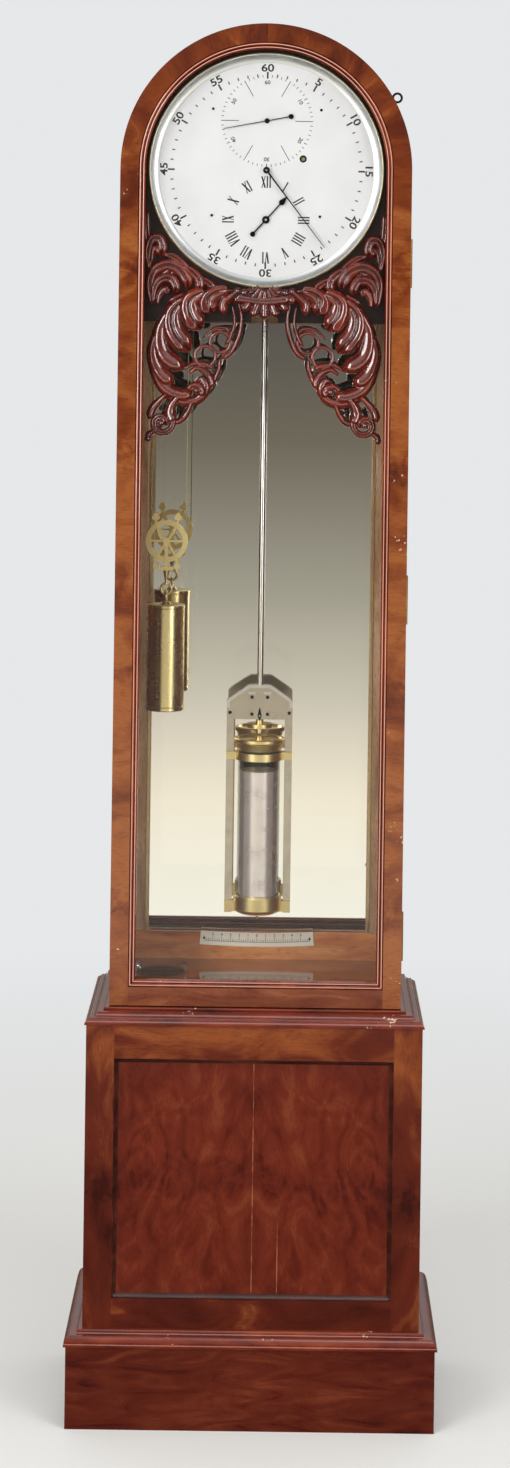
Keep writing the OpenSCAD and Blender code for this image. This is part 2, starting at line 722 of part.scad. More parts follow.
module suspension_cock() {
    half = 12;
    foot_t = 4;
    color(brass) translate([0, 0, susp_z]) difference() {
        union() {
            for (y = [y_pend - cheek_in - cheek_t, y_pend + cheek_in])
                block([-half, y, -6], [half, y + cheek_t, 16]);
            block([-half, y_pend - cheek_in - cheek_t, 8], [half, y_board, 16]);
            block([-20, y_board - foot_t, -25], [20, y_board, 30]);
        }
        rod_y(susp_pin_r + run_gap, y_pend - cheek_in - cheek_t - 1, y_pend + cheek_in + cheek_t + 1);
    }
}

// Weight line: one fall from the anchor, round the weight's pulley, up over the guide to the barrel
anchor_eye_r = 4;
anchor_wire_r = 1.2;
anchor_z = seat_z - seat_t - 6;
fall_top = anchor_z - anchor_eye_r - anchor_wire_r;
module line_anchor() {
    color(brass) translate([anchor_x, y_weight, anchor_z]) {
        ring_y(anchor_eye_r, anchor_wire_r, 0, 360);
        translate([0, 0, anchor_eye_r]) cylinder(r = anchor_wire_r, h = 6 - anchor_eye_r);
        translate([0, 0, 4.8]) cylinder(r = 4, h = 1.2);
    }
}
module line_lead() {
    color([0.86, 0.80, 0.55]) {
        translate([fall_x, y_weight, fall_top])
            cylinder(r = gut_r, h = dial_z + guide_p[1] - fall_top, $fn = 24);
        translate([guide_p[0], y_weight, dial_z + guide_p[1]]) ring_y(lead_r, gut_r, 90, 180);
        translate([guide_p[0], y_weight, dial_z + guide_p[1] + lead_r]) rotate([0, 90, 0])
            cylinder(r = gut_r, h = wind_x - guide_p[0], $fn = 24);
    }
}
module gut_line() {
    color([0.86, 0.80, 0.55]) for (x = [fall_x, anchor_x])
        translate([x, y_weight, pulley_z]) cylinder(r = gut_r, h = fall_top - pulley_z, $fn = 24);
}
module line_bight() {
    color([0.86, 0.80, 0.55]) translate([-weight_off, y_weight, pulley_z])
        ring_y(fall_r, gut_r, 180, 360);
}

// Door
hinge_x = arch_r + 0.2;
y_hinge = y_case - door_gap / 2;
hinge_low = door_z + 90;
hinge_high = dial_z - 120;
hinge_heights = [hinge_low, (hinge_low + hinge_high) / 2, hinge_high];
hinge_third = hinge_h / 6;
// Sinking for one leaf and its share of the knuckle, cut from the wood whose face is at y0
module hinge_pocket(z, y0, depth) {
    translate([hinge_x, y_hinge, z - hinge_h / 2 - fit])
        cylinder(r = knuckle_r + 0.4, h = hinge_h + 2 * fit);
    lo = min(y0, y0 + depth);
    block([arch_r - 14 - fit, lo - 0.01, z - hinge_h / 2 - fit],
        [arch_r + 1, lo + abs(depth) + 0.01, z + hinge_h / 2 + fit]);
}
// Leaf against the face at y0, with a tongue that reaches the knuckle between the stated heights
module hinge_leaf(z, y0, depth, tongues) {
    lo = min(y0, y0 + depth);
    block([arch_r - 14, lo, z - hinge_h / 2], [hinge_x - knuckle_r - 0.9, lo + abs(depth), z + hinge_h / 2]);
    for (t = tongues) difference() {
        union() {
            block([hinge_x - knuckle_r - 1, lo, z + t[0]], [hinge_x, lo + abs(depth), z + t[1]]);
            translate([hinge_x, y_hinge, z + t[0]]) cylinder(r = knuckle_r, h = t[1] - t[0]);
        }
        translate([hinge_x, y_hinge, z + t[0] - 1])
            cylinder(r = hinge_pin_r + run_gap, h = t[1] - t[0] + 2);
    }
}
module case_hinges() {
    outer = hinge_h / 2;
    color(brass) for (z = hinge_heights) {
        difference() {
            hinge_leaf(z, y_case, leaf_t, [[-outer, -hinge_third - fit], [hinge_third + fit, outer]]);
        }
        translate([hinge_x, y_hinge, z - outer]) cylinder(r = hinge_pin_r, h = hinge_h);
        for (s = [-outer, outer - 2]) translate([hinge_x, y_hinge, z + s])
            cylinder(r = knuckle_r - 0.2, h = 2);
    }
}
module door_hinges() {
    color(brass) for (z = hinge_heights)
        hinge_leaf(z, y_door + door_t, -leaf_t, [[-hinge_third, hinge_third]]);
}
module door_stiles() {
    color(wood) difference() {
        both_sides() block([arch_r - stile_w, y_door, door_z], [arch_r, y_door + door_t, dial_z]);
        for (z = hinge_heights) hinge_pocket(z, y_door + door_t, -leaf_t);
    }
}
module door_rail() {
    color(wood) block([-arch_r + stile_w, y_door, door_z],
        [arch_r - stile_w, y_door + door_t, door_z + stile_w]);
}
module door_arch() { color(wood) arch_ring(arch_r - stile_w, arch_r, y_door, y_door + door_t); }
// Runs a profile of inward distance and depth round the inside of the door frame
module door_run(profile) {
    deep = 60;
    translate([0, 0, dial_z]) rotate([90, 0, 0]) rotate_extrude(angle = 180)
        polygon([for (p = profile) [arch_r - p[0], -y_door - p[1]]]);
    both_sides() intersection() {
        along_z(door_z, dial_z) polygon([for (p = profile) [arch_r - p[0], y_door + p[1]]]);
        along_y(y_door - 1, y_door + door_t)
            polygon([[arch_r, door_z], [arch_r - deep, door_z + deep], [arch_r - deep, dial_z],
                [arch_r, dial_z]]);
    }
    intersection() {
        along_x(-arch_r, arch_r) polygon([for (p = profile) [y_door + p[1], door_z + p[0]]]);
        along_y(y_door - 1, y_door + door_t)
            polygon([[-arch_r, door_z], [arch_r, door_z], [arch_r - deep, door_z + deep],
                [-arch_r + deep, door_z + deep]]);
    }
}
module door_moulding() {
    s = stile_w;
    back = pane_in - fit;
    beads = concat([[s, back], [s, 2.6]], arc(s + 2.3, 2.6, 2.2, 180, 360, 8),
        arc(s + bead_w - 2.4, 4, 1.9, 180, 360, 8), [[s + bead_w, 4.6], [s + bead_w, back]]);
    keeper = [[s, pane_in + pane_t + fit], [s + 6, pane_in + pane_t + fit], [s + 4, 19], [s, 19]];
    color(wood) {
        door_run(beads);
        door_run(keeper);
    }
}
module door_glass() {
    gap = 0.5;
    color([0.8, 0.9, 0.9, 0.25]) along_y(y_door + pane_in, y_door + pane_in + pane_t)
        arch_outline(arch_r - stile_w - gap, door_z + stile_w + gap);
}
module door_catch() {
    y0 = y_door + door_t;
    z = (door_z + dial_z) / 2 + 60;
    x0 = arch_in_r - 1.2;
    color(brass) {
        block([-x0, y0, z - 20], [-arch_r + stile_w, y0 + 1.5, z + 20]);
        block([-x0, y0 + 1.5, z - 8], [-x0 + 3, y0 + 15, z + 8]);
    }
}

// Train
module centre_wheel() {
    color(brass) on_dial(centre_p) {
        rod_y(arbor_r, y_dial - 5.8, y_plate_back + 2);
        toothed_wheel(centre_n, centre_m, heading(centre_p, third_p), y_centre, wheel_t, 2.6, 5, 5);
        pinion(centre_leaves, great_m, leaf_phase(barrel_p, centre_p, centre_leaves), y_great - 1.5,
            y_great + wheel_t + 1.5);
        pinion(cannon_n, cannon_m, leaf_phase(motion_p, centre_p, cannon_n), y_cannon - 0.5,
            y_cannon + wheel_t + 0.5);
    }
}
module third_wheel() {
    color(brass) on_dial(third_p) {
        rod_y(arbor_r, y_plate_front - 2, y_plate_back + 2);
        toothed_wheel(third_n, third_m, heading(third_p, escape_p), y_third, wheel_t, 2.4, 5, 5);
        pinion(third_leaves, centre_m, leaf_phase(centre_p, third_p, third_leaves), y_centre - 2,
            y_centre + wheel_t + 1.5);
    }
}
module escape_wheel() {
    root_r = escape_r - 4.5;
    rim_r = root_r - 2;
    color(brass) on_dial(escape_p) {
        rod_y(arbor_r, y_dial - 2.8, y_plate_back + 2);
        pinion(escape_leaves, third_m, leaf_phase(third_p, escape_p, escape_leaves), y_third - 1.5,
            y_third + wheel_t + 1.5);
        along_y(y_escape, y_escape + wheel_t) {
            difference() {
                polygon([for (i = [0:escape_n - 1])
                    for (p = [[-2, root_r], [-3.2, escape_r], [-2.6, escape_r], [4, root_r]])
                        let (a = 360 * i / escape_n + p[0]) [p[1] * cos(a), p[1] * sin(a)]]);
                circle(rim_r);
            }
            crossings(rim_r, 5, 2, 4);
        }
    }
}
ratchet_r = 15;
module great_wheel() {
    color(brass) on_dial(barrel_p) difference() {
        union() {
            toothed_wheel(great_n, great_m, heading(barrel_p, centre_p), y_great, wheel_t, 3.4, 6,
                ratchet_r + 9);
            along_y(y_great + wheel_t, y_great + wheel_t + 2)
                polygon([[ratchet_r + 0.5, 0], [ratchet_r + 5, -3], [ratchet_r + 7, 7], [ratchet_r + 3, 8]]);
        }
        rod_y(wind_arbor_r + run_gap, y_great - 1, y_great + wheel_t + 1);
    }
}
module barrel() {
    y_end = y_centre - 3;
    flange = 2.5;
    notches = 24;
    color(brass) on_dial(barrel_p) {
        rod_y(wind_arbor_r, y_plate_front - plate_t, y_plate_back + 2);
        rod_y(wind_arbor_r - 0.8, y_dial + 0.5, y_plate_front - plate_t);
        along_y(y_ratchet, y_barrel)
            polygon([for (i = [0:notches - 1]) for (p = [[0, ratchet_r], [13, ratchet_r - 1.6]])
                let (a = 360 * i / notches + p[0]) [p[1] * cos(a), p[1] * sin(a)]]);
        rod_y(barrel_r, y_barrel, y_end);
        rod_y(barrel_r + flange, y_barrel, y_barrel + 1.5);
        rod_y(barrel_r + flange, y_end - 1.5, y_end);
    }
}
module motion_wheel() {
    color(brass) on_dial(motion_p) difference() {
        union() {
            toothed_wheel(motion_n, cannon_m, heading(motion_p, centre_p), y_cannon, wheel_t, 2.4, 5, 5);
            pinion(motion_leaves, hour_m, leaf_phase(hour_p, motion_p, motion_leaves), y_hour - 1,
                y_cannon);
        }
        rod_y(post_r + run_gap, y_hour - 2, y_cannon + wheel_t + 1);
    }
}
hour_pipe_r = 3;
module hour_wheel() {
    color(brass) on_dial(hour_p) difference() {
        union() {
            toothed_wheel(hour_n, hour_m, heading(hour_p, motion_p), y_hour, wheel_t, 2.6, 5, 6);
            rod_y(hour_pipe_r, y_dial - 2.8, y_hour + wheel_t + 2);
        }
        rod_y(post_r + run_gap, y_dial - 4, y_hour + wheel_t + 3);
    }
}
module pallets() {
    outer = escape_drop - 5;
    inner = escape_r + 1.3;
    arm = 150;
    y_arm = y_plate_back + plate_t + 4;
    prong_in = rod_r + 0.3;
    color(steel) on_dial(pallet_p) {
        rod_y(arbor_r, y_plate_front - 2, y_arm + 2);
        along_y(y_escape - 0.5, y_escape + wheel_t + 0.5) {
            circle(6.5);
            translate([0, -escape_drop]) intersection() {
                difference() {
                    circle(outer);
                    circle(inner);
                }
                polygon([[0, 0], [40, 38], [0, 60], [-40, 38]]);
            }
        }
        along_y(y_arm, y_arm + 2) {
            circle(6);
            translate([-2.5, -arm]) square([5, arm]);
        }
        block([-prong_in - 3, y_arm, -arm - 4], [prong_in + 3, y_pend - rod_r - 2, -arm + 4]);
        both_sides() block([prong_in, y_arm, -arm - 4], [prong_in + 3, y_pend + rod_r + 2, -arm + 4]);
    }
}
module guide_pulley() {
    half = 3.5;
    rim = guide_r + 2.5;
    color(brass) translate([guide_p[0], y_weight, dial_z + guide_p[1]]) turned_y()
        polygon([[guide_arbor_r + run_gap, -half], [rim, -half], [rim, -half + 1],
            [guide_r - 0.3, -1], [guide_r - 0.3, 1], [rim, half - 1], [rim, half],
            [guide_arbor_r + run_gap, half]]);
}

// Hands, each drawn pointing up and then turned to the time
minute_turn = 6 * (show_minute + show_second / 60 / 60);
hour_turn = 30 * (show_hour + show_minute / 60);
second_turn = 6 * show_second;
module hand(p, turn, y0) {
    color(blued) on_dial(p) rotate([0, turn, 0]) along_y(y0, y0 + hand_t) difference() {
        children();
        circle(arbor_r + run_gap);
    }
}
module minute_hand() {
    hand(centre_p, minute_turn, y_dial - 5.6) {
        circle(4.4);
        polygon([[-1.1, 0], [1.1, 0], [0.4, minute_len], [-0.4, minute_len]]);
    }
}
module hour_hand() {
    drop = 15.5;
    along = hour_len - drop;
    color(blued) on_dial(hour_p) rotate([0, hour_turn, 0])
        along_y(y_dial - 2.8, y_dial - 2.8 + hand_t) difference() {
            union() {
                circle(5);
                polygon([[-1, -hour_tail], [1, -hour_tail], [0.8, along + 3], [-0.8, along + 3]]);
                translate([0, -hour_tail]) circle(3.4);
                translate([0, along + 5]) circle(3.8);
                polygon([[-3.6, along + 6], [3.6, along + 6], [0.3, hour_len], [-0.3, hour_len]]);
            }
            circle(hour_pipe_r + 0.02);
        }
}
module seconds_hand() {
    hand(escape_p, second_turn, y_dial - 2.6) {
        circle(3.4);
        polygon([[-0.7, -second_tail], [0.7, -second_tail], [0.35, second_len], [-0.35, second_len]]);
        translate([0, -second_tail]) circle(3.4);
    }
}

// Pendulum, drawn with the suspension's height as zero
module pendulum_rod() {
    chop = 4;
    color(steel) translate([0, y_pend, susp_z]) {
        rod_y(susp_pin_r, -cheek_in - cheek_t, cheek_in + cheek_t);
        block([-chop, -cheek_in + 0.35, -5], [chop, cheek_in - 0.35, 4]);
        block([-0.25, -3.5, -20], [0.25, 3.5, -5]);
        block([-chop, -3.9, -32], [chop, 3.9, -20]);
        translate([0, 0, head_z + 14 - susp_z]) cylinder(r = rod_r, h = susp_z - head_z - 14 - 31);
        translate([0, 0, rating_z - 2 - susp_z]) cylinder(r = 2.5, h = head_z + 14 - rating_z + 2.5);
    }
}
module pendulum_frame() {
    half = frame_w / 2;
    shoulder = head_z + head_h - 17.5;
    top_half = half * 0.43;
    foot = jar_z - cup_h + 4;
    color(steel) translate([0, y_pend, 0]) difference() {
        union() {
            along_y(-head_t / 2, head_t / 2)
                polygon([[-half, head_z], [half, head_z], [half, shoulder - 4], [half - 4, shoulder],
                    [top_half, head_z + head_h - 3], [top_half - 5, head_z + head_h],
                    [-top_half + 5, head_z + head_h], [-top_half, head_z + head_h - 3],
                    [-half + 4, shoulder], [-half, shoulder - 4]]);
            both_sides() block([half - bar_w, -bar_t / 2, foot], [half, bar_t / 2, head_z + 4]);
        }
        translate([0, 0, head_z - 1]) cylinder(r = 2.5 + run_gap, h = head_h);
        translate([0, 0, head_z + 14]) cylinder(r = rod_r + run_gap, h = head_h);
        for (p = [[-10.5, 30], [10.5, 30], [-10.5, 7], [10.5, 7], [-40, 9], [40, 9]])
            translate([p[0], 0, head_z + p[1]]) rod_y(1.4, -head_t, -head_t / 2 + 2);
    }
}
module rating_disc() {
    color(brass) translate([0, y_pend, rating_z]) difference() {
        union() {
            cylinder(r = 5, h = rating_h);
            translate([0, 0, 7]) cylinder(r = rating_r, h = 5);
        }
        translate([0, 0, -1]) cylinder(r = 2.5 + run_gap, h = rating_h + 2);
    }
}
collar_h = 10;
module jar_lid() {
    seat = jar_r + fit;
    color(brass) translate([0, y_pend, jar_top]) {
        rotate_extrude() polygon([[0, 0], [jar_r, 0], [jar_r + 1.5, 1], [lid_r - 2, 10],
            [lid_r, 12], [lid_r, lid_h - 3], [lid_r - 1, lid_h - 2], [lid_r - 4, lid_h - 2],
            [lid_r - 6, lid_h - 5], [6, lid_h - 5], [6, lid_h], [0, lid_h]]);
        translate([0, 0, -collar_h - 2]) difference() {
            union() {
                cylinder(r = jar_r + 4, h = collar_h);
                block([-frame_w / 2, -bar_t / 2 - 4, 0], [frame_w / 2, -bar_t / 2, collar_h]);
                block([-frame_w / 2, bar_t / 2, 0], [frame_w / 2, bar_t / 2 + 4, collar_h]);
            }
            translate([0, 0, -1]) cylinder(r = seat, h = collar_h + 2);
            both_sides() block([frame_w / 2 - bar_w, -bar_t / 2, -1],
                [frame_w / 2 + 1, bar_t / 2, collar_h + 1]);
        }
    }
}
module glass_jar() {
    color([0.8, 0.88, 0.88, 0.4]) translate([0, y_pend, jar_z]) difference() {
        cylinder(r = jar_r, h = jar_h);
        translate([0, 0, jar_foot]) cylinder(r = jar_r - jar_wall, h = jar_h);
    }
}
module mercury() {
    color([0.62, 0.62, 0.65]) translate([0, y_pend, jar_z + jar_foot])
        cylinder(r = jar_r - jar_wall - fit, h = mercury_h);
}
module jar_cup() {
    seat = jar_r + fit;
    lip = 10;
    color(brass) translate([0, y_pend, jar_z - cup_h]) {
        difference() {
            union() {
                rotate_extrude() polygon([[0, 3], [jar_r - 6, 3], [jar_r + 1, 6], [jar_r + 4, 10],
                    [jar_r + 4, cup_h + lip - 2], [jar_r + 3, cup_h + lip], [0, cup_h + lip]]);
                block([-frame_w / 2, -bar_t / 2 - 4, 6], [frame_w / 2, -bar_t / 2, cup_h + 2]);
                block([-frame_w / 2, bar_t / 2, 6], [frame_w / 2, bar_t / 2 + 4, cup_h + 2]);
            }
            translate([0, 0, cup_h]) cylinder(r = seat, h = lip + 1);
            both_sides() block([frame_w / 2 - bar_w, -bar_t / 2, 0],
                [frame_w / 2 + 1, bar_t / 2, cup_h + lip]);
        }
        translate([0, 0, -pointer_len]) cylinder(r1 = 0.8, r2 = 2.4, h = pointer_len + 3.5);
    }
}

// Weight and its pulley, drawn round the pulley's centre
pulley_rim = 28;
stirrup_in = 4.4;
stirrup_t = 2;
hook_z = -64;
module weight() {
    top = -weight_hang;
    eye_r = 6.5;
    color(brass) translate([-weight_off, y_weight, pulley_z]) {
        rotate_extrude() polygon([[0, top], [5, top], [6.5, top - 2], [7, top - 3],
            [weight_r - 2, top - 3], [weight_r + 0.6, top - 4], [weight_r + 0.6, top - 7],
            [weight_r, top - 8], [weight_r, top - weight_len + 6], [weight_r + 0.6, top - weight_len + 5],
            [weight_r + 0.6, top - weight_len + 1], [weight_r - 1, top - weight_len],
            [0, top - weight_len]]);
        translate([0, 0, hook_z - 10]) rotate([0, 0, 90]) ring_y(eye_r, 1.6, 0, 360);
        translate([0, 0, top - 0.5]) cylinder(r = 2.5, h = hook_z - 10 - eye_r - top + 0.5);
    }
}
module stirrup_scrolls() {
    steps = 20;
    horn_x = 15;
    circle(5);
    for (s = [-1, 1]) {
        polygon(strip([for (i = [0:steps]) let (t = i / steps)
            [s * horn_x * cos(180 * t), 30 - 62 * t]], 2.6, 2.6));
        for (a = [90, 210, 330])
            translate([s * horn_x + 2.4 * cos(a), 32.6 + 2.4 * sin(a)]) circle(3);
        translate([s * (horn_x - 1), -33]) circle(4);
    }
    translate([-2.2, -38]) square([4.4, 38]);
}
module pulley_stirrup() {
    color(brass) translate([-weight_off, y_weight, pulley_z]) {
        for (y = [-stirrup_in - stirrup_t, stirrup_in]) along_y(y, y + stirrup_t) stirrup_scrolls();
        rod_y(1.5, -stirrup_in - stirrup_t - 1, stirrup_in + stirrup_t + 1);
        block([-9, -stirrup_in - stirrup_t, -39], [9, stirrup_in + stirrup_t, -34]);
        translate([0, 0, -52]) cylinder(r1 = 2, r2 = 4.5, h = 13);
        translate([0, 0, hook_z + 6]) cylinder(r = 2, h = 8);
        translate([0, 0, hook_z]) ring_y(7, 1.8, 0, 360);
    }
}
module pulley_wheel() {
    half = 3.5;
    inner = fall_r - 4.2;
    groove = fall_r - gut_r - 0.3;
    color(brass) translate([-weight_off, y_weight, pulley_z]) {
        turned_y() polygon([[inner, -half], [pulley_rim, -half], [pulley_rim, -half + 1],
            [groove, -1], [groove, 1], [pulley_rim, half - 1], [pulley_rim, half], [inner, half]]);
        difference() {
            along_y(-1.5, 1.5) crossings(inner, 6, 2.4, 5);
            rod_y(1.5 + run_gap, -3, 3);
        }
    }
}

plinth_boards();
plinth_moulding();
base_sides();
base_frame();
base_panel();
base_bead();
shoulder_moulding();
trunk_sides();
trunk_arch();
trunk_floor();
backboard();
mirror_glass();
mirror_border();
beat_rail();
beat_scale();
glass_dish();
wall_eye();
mask_board();
apron();
dial();
bezel();
brass_screws();
movement_plates();
pillars();
seatboard();
suspension_cock();
line_anchor();
line_lead();
gut_line();
case_hinges();
door_stiles();
door_rail();
door_arch();
door_moulding();
door_glass();
door_hinges();
door_catch();
centre_wheel();
minute_hand();
third_wheel();
escape_wheel();
seconds_hand();
great_wheel();
barrel();
motion_wheel();
hour_wheel();
hour_hand();
pallets();
guide_pulley();
pendulum_rod();
pendulum_frame();
rating_disc();
jar_lid();
glass_jar();
mercury();
jar_cup();
weight();
pulley_stirrup();
pulley_wheel();
line_bight();
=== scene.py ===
"""Longcase regulator clock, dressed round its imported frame.

Lengths are in metres in the frame's own axes: +Z up, the front faces -Y.
"""
import math
from functools import partial

import bpy
import numpy as np
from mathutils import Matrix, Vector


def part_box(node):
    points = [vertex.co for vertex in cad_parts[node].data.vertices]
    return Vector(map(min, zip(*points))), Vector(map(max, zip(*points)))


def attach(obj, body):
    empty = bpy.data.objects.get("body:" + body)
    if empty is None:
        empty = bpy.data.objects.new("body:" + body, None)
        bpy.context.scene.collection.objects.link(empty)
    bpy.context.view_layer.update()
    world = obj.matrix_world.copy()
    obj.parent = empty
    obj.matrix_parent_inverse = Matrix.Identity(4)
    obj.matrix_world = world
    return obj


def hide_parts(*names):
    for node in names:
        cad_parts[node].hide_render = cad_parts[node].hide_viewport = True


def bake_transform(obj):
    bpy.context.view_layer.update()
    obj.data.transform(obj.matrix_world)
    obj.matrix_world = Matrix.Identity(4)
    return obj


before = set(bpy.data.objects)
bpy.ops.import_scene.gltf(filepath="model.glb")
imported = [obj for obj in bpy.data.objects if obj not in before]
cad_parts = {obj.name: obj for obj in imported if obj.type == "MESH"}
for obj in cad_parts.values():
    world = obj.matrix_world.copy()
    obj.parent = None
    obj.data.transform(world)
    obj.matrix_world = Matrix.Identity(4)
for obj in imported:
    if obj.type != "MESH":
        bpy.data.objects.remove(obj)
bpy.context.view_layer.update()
scene = bpy.context.scene

MM = 0.001


def corners(node):
    """The lowest and highest corner of a CAD node as two arrays."""
    low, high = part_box(node)
    return np.array(low), np.array(high)


# Places taken from the frame
ARCH_R = corners("trunk_arch")[1][0]
DIAL_Z = corners("trunk_arch")[1][2] - ARCH_R
DIAL_FACE = corners("dial")[0][1]
DIAL_BACK = corners("dial")[1][1]
DOOR_FACE = corners("door_stiles")[0][1]
SUB_DIAL = 65 * MM
BEAD_W = 9 * MM
BASE_STILE = 181 * MM  # from here outward the base frame's grain stands upright


# Colour and nodes

def linear(code):
    """A hex colour in sRGB as linear red, green, blue and alpha."""
    parts = [int(code[i:i + 2], 16) / 255 for i in (1, 3, 5)]
    return tuple(p / 12.92 if p <= 0.04045 else ((p + 0.055) / 1.055) ** 2.4 for p in parts) + (1.0,)


def add_node(tree, kind, settings=(), links=(), stops=()):
    """Adds a shader node and gives it back.

    `kind` may carry the node's operation after a dot. A key that names or numbers an input sets or links that
    input, and any other sets the node itself. A list of links fills the inputs in order, and a linked node stands
    for its first output. "From" and "To" set a range's two ends, and `stops` the places and hex colours of a ramp.
    A Mix takes vectors at inputs 4 and 5 and gives output 1, and takes colours at 6 and 7 and gives output 2.
    """
    kind, _, operation = kind.partition(".")
    node = tree.nodes.new("ShaderNode" + kind)
    if operation:
        node.operation = operation
    for key, value in dict(settings).items():
        if key in ("From", "To"):
            node.inputs[key + " Min"].default_value, node.inputs[key + " Max"].default_value = value
        elif isinstance(key, str) and key not in node.inputs:
            setattr(node, key, value)
        else:
            node.inputs[key].default_value = value
    for key, source in links.items() if isinstance(links, dict) else enumerate(links):
        tree.links.new(source.outputs[0] if hasattr(source, "outputs") else source, node.inputs[key])
    for _ in stops[2:]:
        node.color_ramp.elements.new(0.5)
    for k, (place, code) in enumerate(stops):
        node.color_ramp.elements[k].position = place
        node.color_ramp.elements[k].color = linear(code)
    return node


def material(name):
    """An empty material, and the function that adds a node to it."""
    made = bpy.data.materials.new(name)
    made.use_nodes = True
    made.node_tree.nodes.clear()
    return made, partial(add_node, made.node_tree)


# Wood

HALF_SHIFT = 0.31  # metres by which the pattern differs between the left and right of the door
CLOUD_SHARE = 0.55  # weight of the slow change of tone against the figure's
# Pale pink of the painted highlight lines along the door beads' tops
BEAD_HIGHLIGHT = "#DDA78E"
DOOR_LOW = corners("door_rail")[0][2]
BEAD_OUT = corners("door_moulding")[1][0]
BEAD_IN = BEAD_OUT - BEAD_W


def band_places(add, x, z):
    """Distance along the door's band and distance out from its middle line, round the arch and down the sides.

    Above the dial centre these are arc length and radius, and below it height and sideways distance.
    """
    rise = add("Math.SUBTRACT", {1: DIAL_Z}, [z])
    up = add("Math.MAXIMUM", {1: 0.0}, [rise])
    down = add("Math.MINIMUM", {1: 0.0}, [rise])
    side = add("Math.ABSOLUTE", links=[x])
    angle = add("Math.ARCTAN2", links=[up, side])
    along = add("Math.MULTIPLY_ADD", {1: ARCH_R}, {0: angle, 2: down})
    flat = add("CombineXYZ", links={0: x, 2: up})
    out = add("VectorMath.LENGTH", links=[flat]).outputs["Value"]
    return along, out


def grain_vector(add, place, run, hand):
    """A vector whose first part runs along the grain, in metres, for the way that the piece was cut.

    `hand` moves the whole pattern on, so that pieces cut the same way differ.
    """
    x, y, z = add("SeparateXYZ", links=[place]).outputs
    if run == "framed":
        side = add("Math.ABSOLUTE", links=[x])
        upright = add("Math.GREATER_THAN", {1: BASE_STILE}, [side])
        stile = add("CombineXYZ", links=[z, x, y])
        rail = add("CombineXYZ", links=[x, z, y])
        vector = add("Mix", {"data_type": "VECTOR"}, {0: upright, 4: rail, 5: stile}).outputs[1]
    else:
        if run in ("round", "crossband"):
            along, out = band_places(add, x, z)
            left = add("Math.SIGN", links=[x])
            depth = add("Math.MULTIPLY_ADD", {1: HALF_SHIFT}, {0: left, 2: y})
            order = (along, out, depth) if run == "round" else (out, along, depth)
        elif run == "matched":
            order = (z, add("Math.ABSOLUTE", links=[x]), y)
        else:
            order = (z, x, y) if run == "up" else (x, z, y)
        vector = add("CombineXYZ", links=order)
    return add("VectorMath.ADD", {1: (hand, hand, 0)}, [vector])


def stretched(add, vector, along, across, detail, distortion=0.0):
    """Noise whose patches are about `along` by `across` metres, along and across the grain."""
    size = add("VectorMath.MULTIPLY", {1: (1 / along, 1 / across, 1 / across)}, [vector])
    return add("TexNoise", {"Scale": 1.0, "Detail": detail, "Distortion": distortion}, {"Vector": size})


def between(add, value, low, high, soft):
    """1 where a value lies between two limits, 0 elsewhere, with edges that ease over `soft` each way."""
    edges = [add("MapRange", {"interpolation_type": "SMOOTHSTEP", "From": (edge - soft, edge + soft),
                              "To": (start, 1.0 - start)}, {"Value": value})
             for edge, start in ((low, 0.0), (high, 1.0))]
    return add("Math.MULTIPLY", links=edges)


def flame_tone(add, place, flame, belt):
    """How much darker a wild patch of grain is: a ragged belt across the wood at a height, mottled every 9 mm.

    The belt climbs 50 mm in a metre to the right. A ragged noise moves it by up to 90 mm and a slow one by up to
    60 mm, so its middle lies half of their sum higher.
    """
    lean, ragged_by, slow_by = 0.05, 0.09, 0.06
    ragged = add("TexNoise", {"Scale": 30.0, "Detail": 4.0, "Distortion": 1.5}, {"Vector": place})
    slow = add("TexNoise", {"Scale": 4.0, "Detail": 1.0}, {"Vector": place})
    mottle = add("TexNoise", {"Scale": 110.0, "Detail": 2.0}, {"Vector": place})
    x, y, moved = add("SeparateXYZ", links=[place]).outputs
    for share, part in ((lean, x), (ragged_by, ragged), (slow_by, slow)):
        moved = add("Math.MULTIPLY_ADD", {1: share}, {0: part, 2: moved})
    middle = flame + (ragged_by + slow_by) / 2
    dark = between(add, moved, middle - belt / 2, middle + belt / 2, 0.45 * belt)
    part = add("MapRange", {"From": (0.3, 0.7), "To": (0.12, 0.42)}, {"Value": mottle})
    return add("Math.MULTIPLY", links=[dark, part])


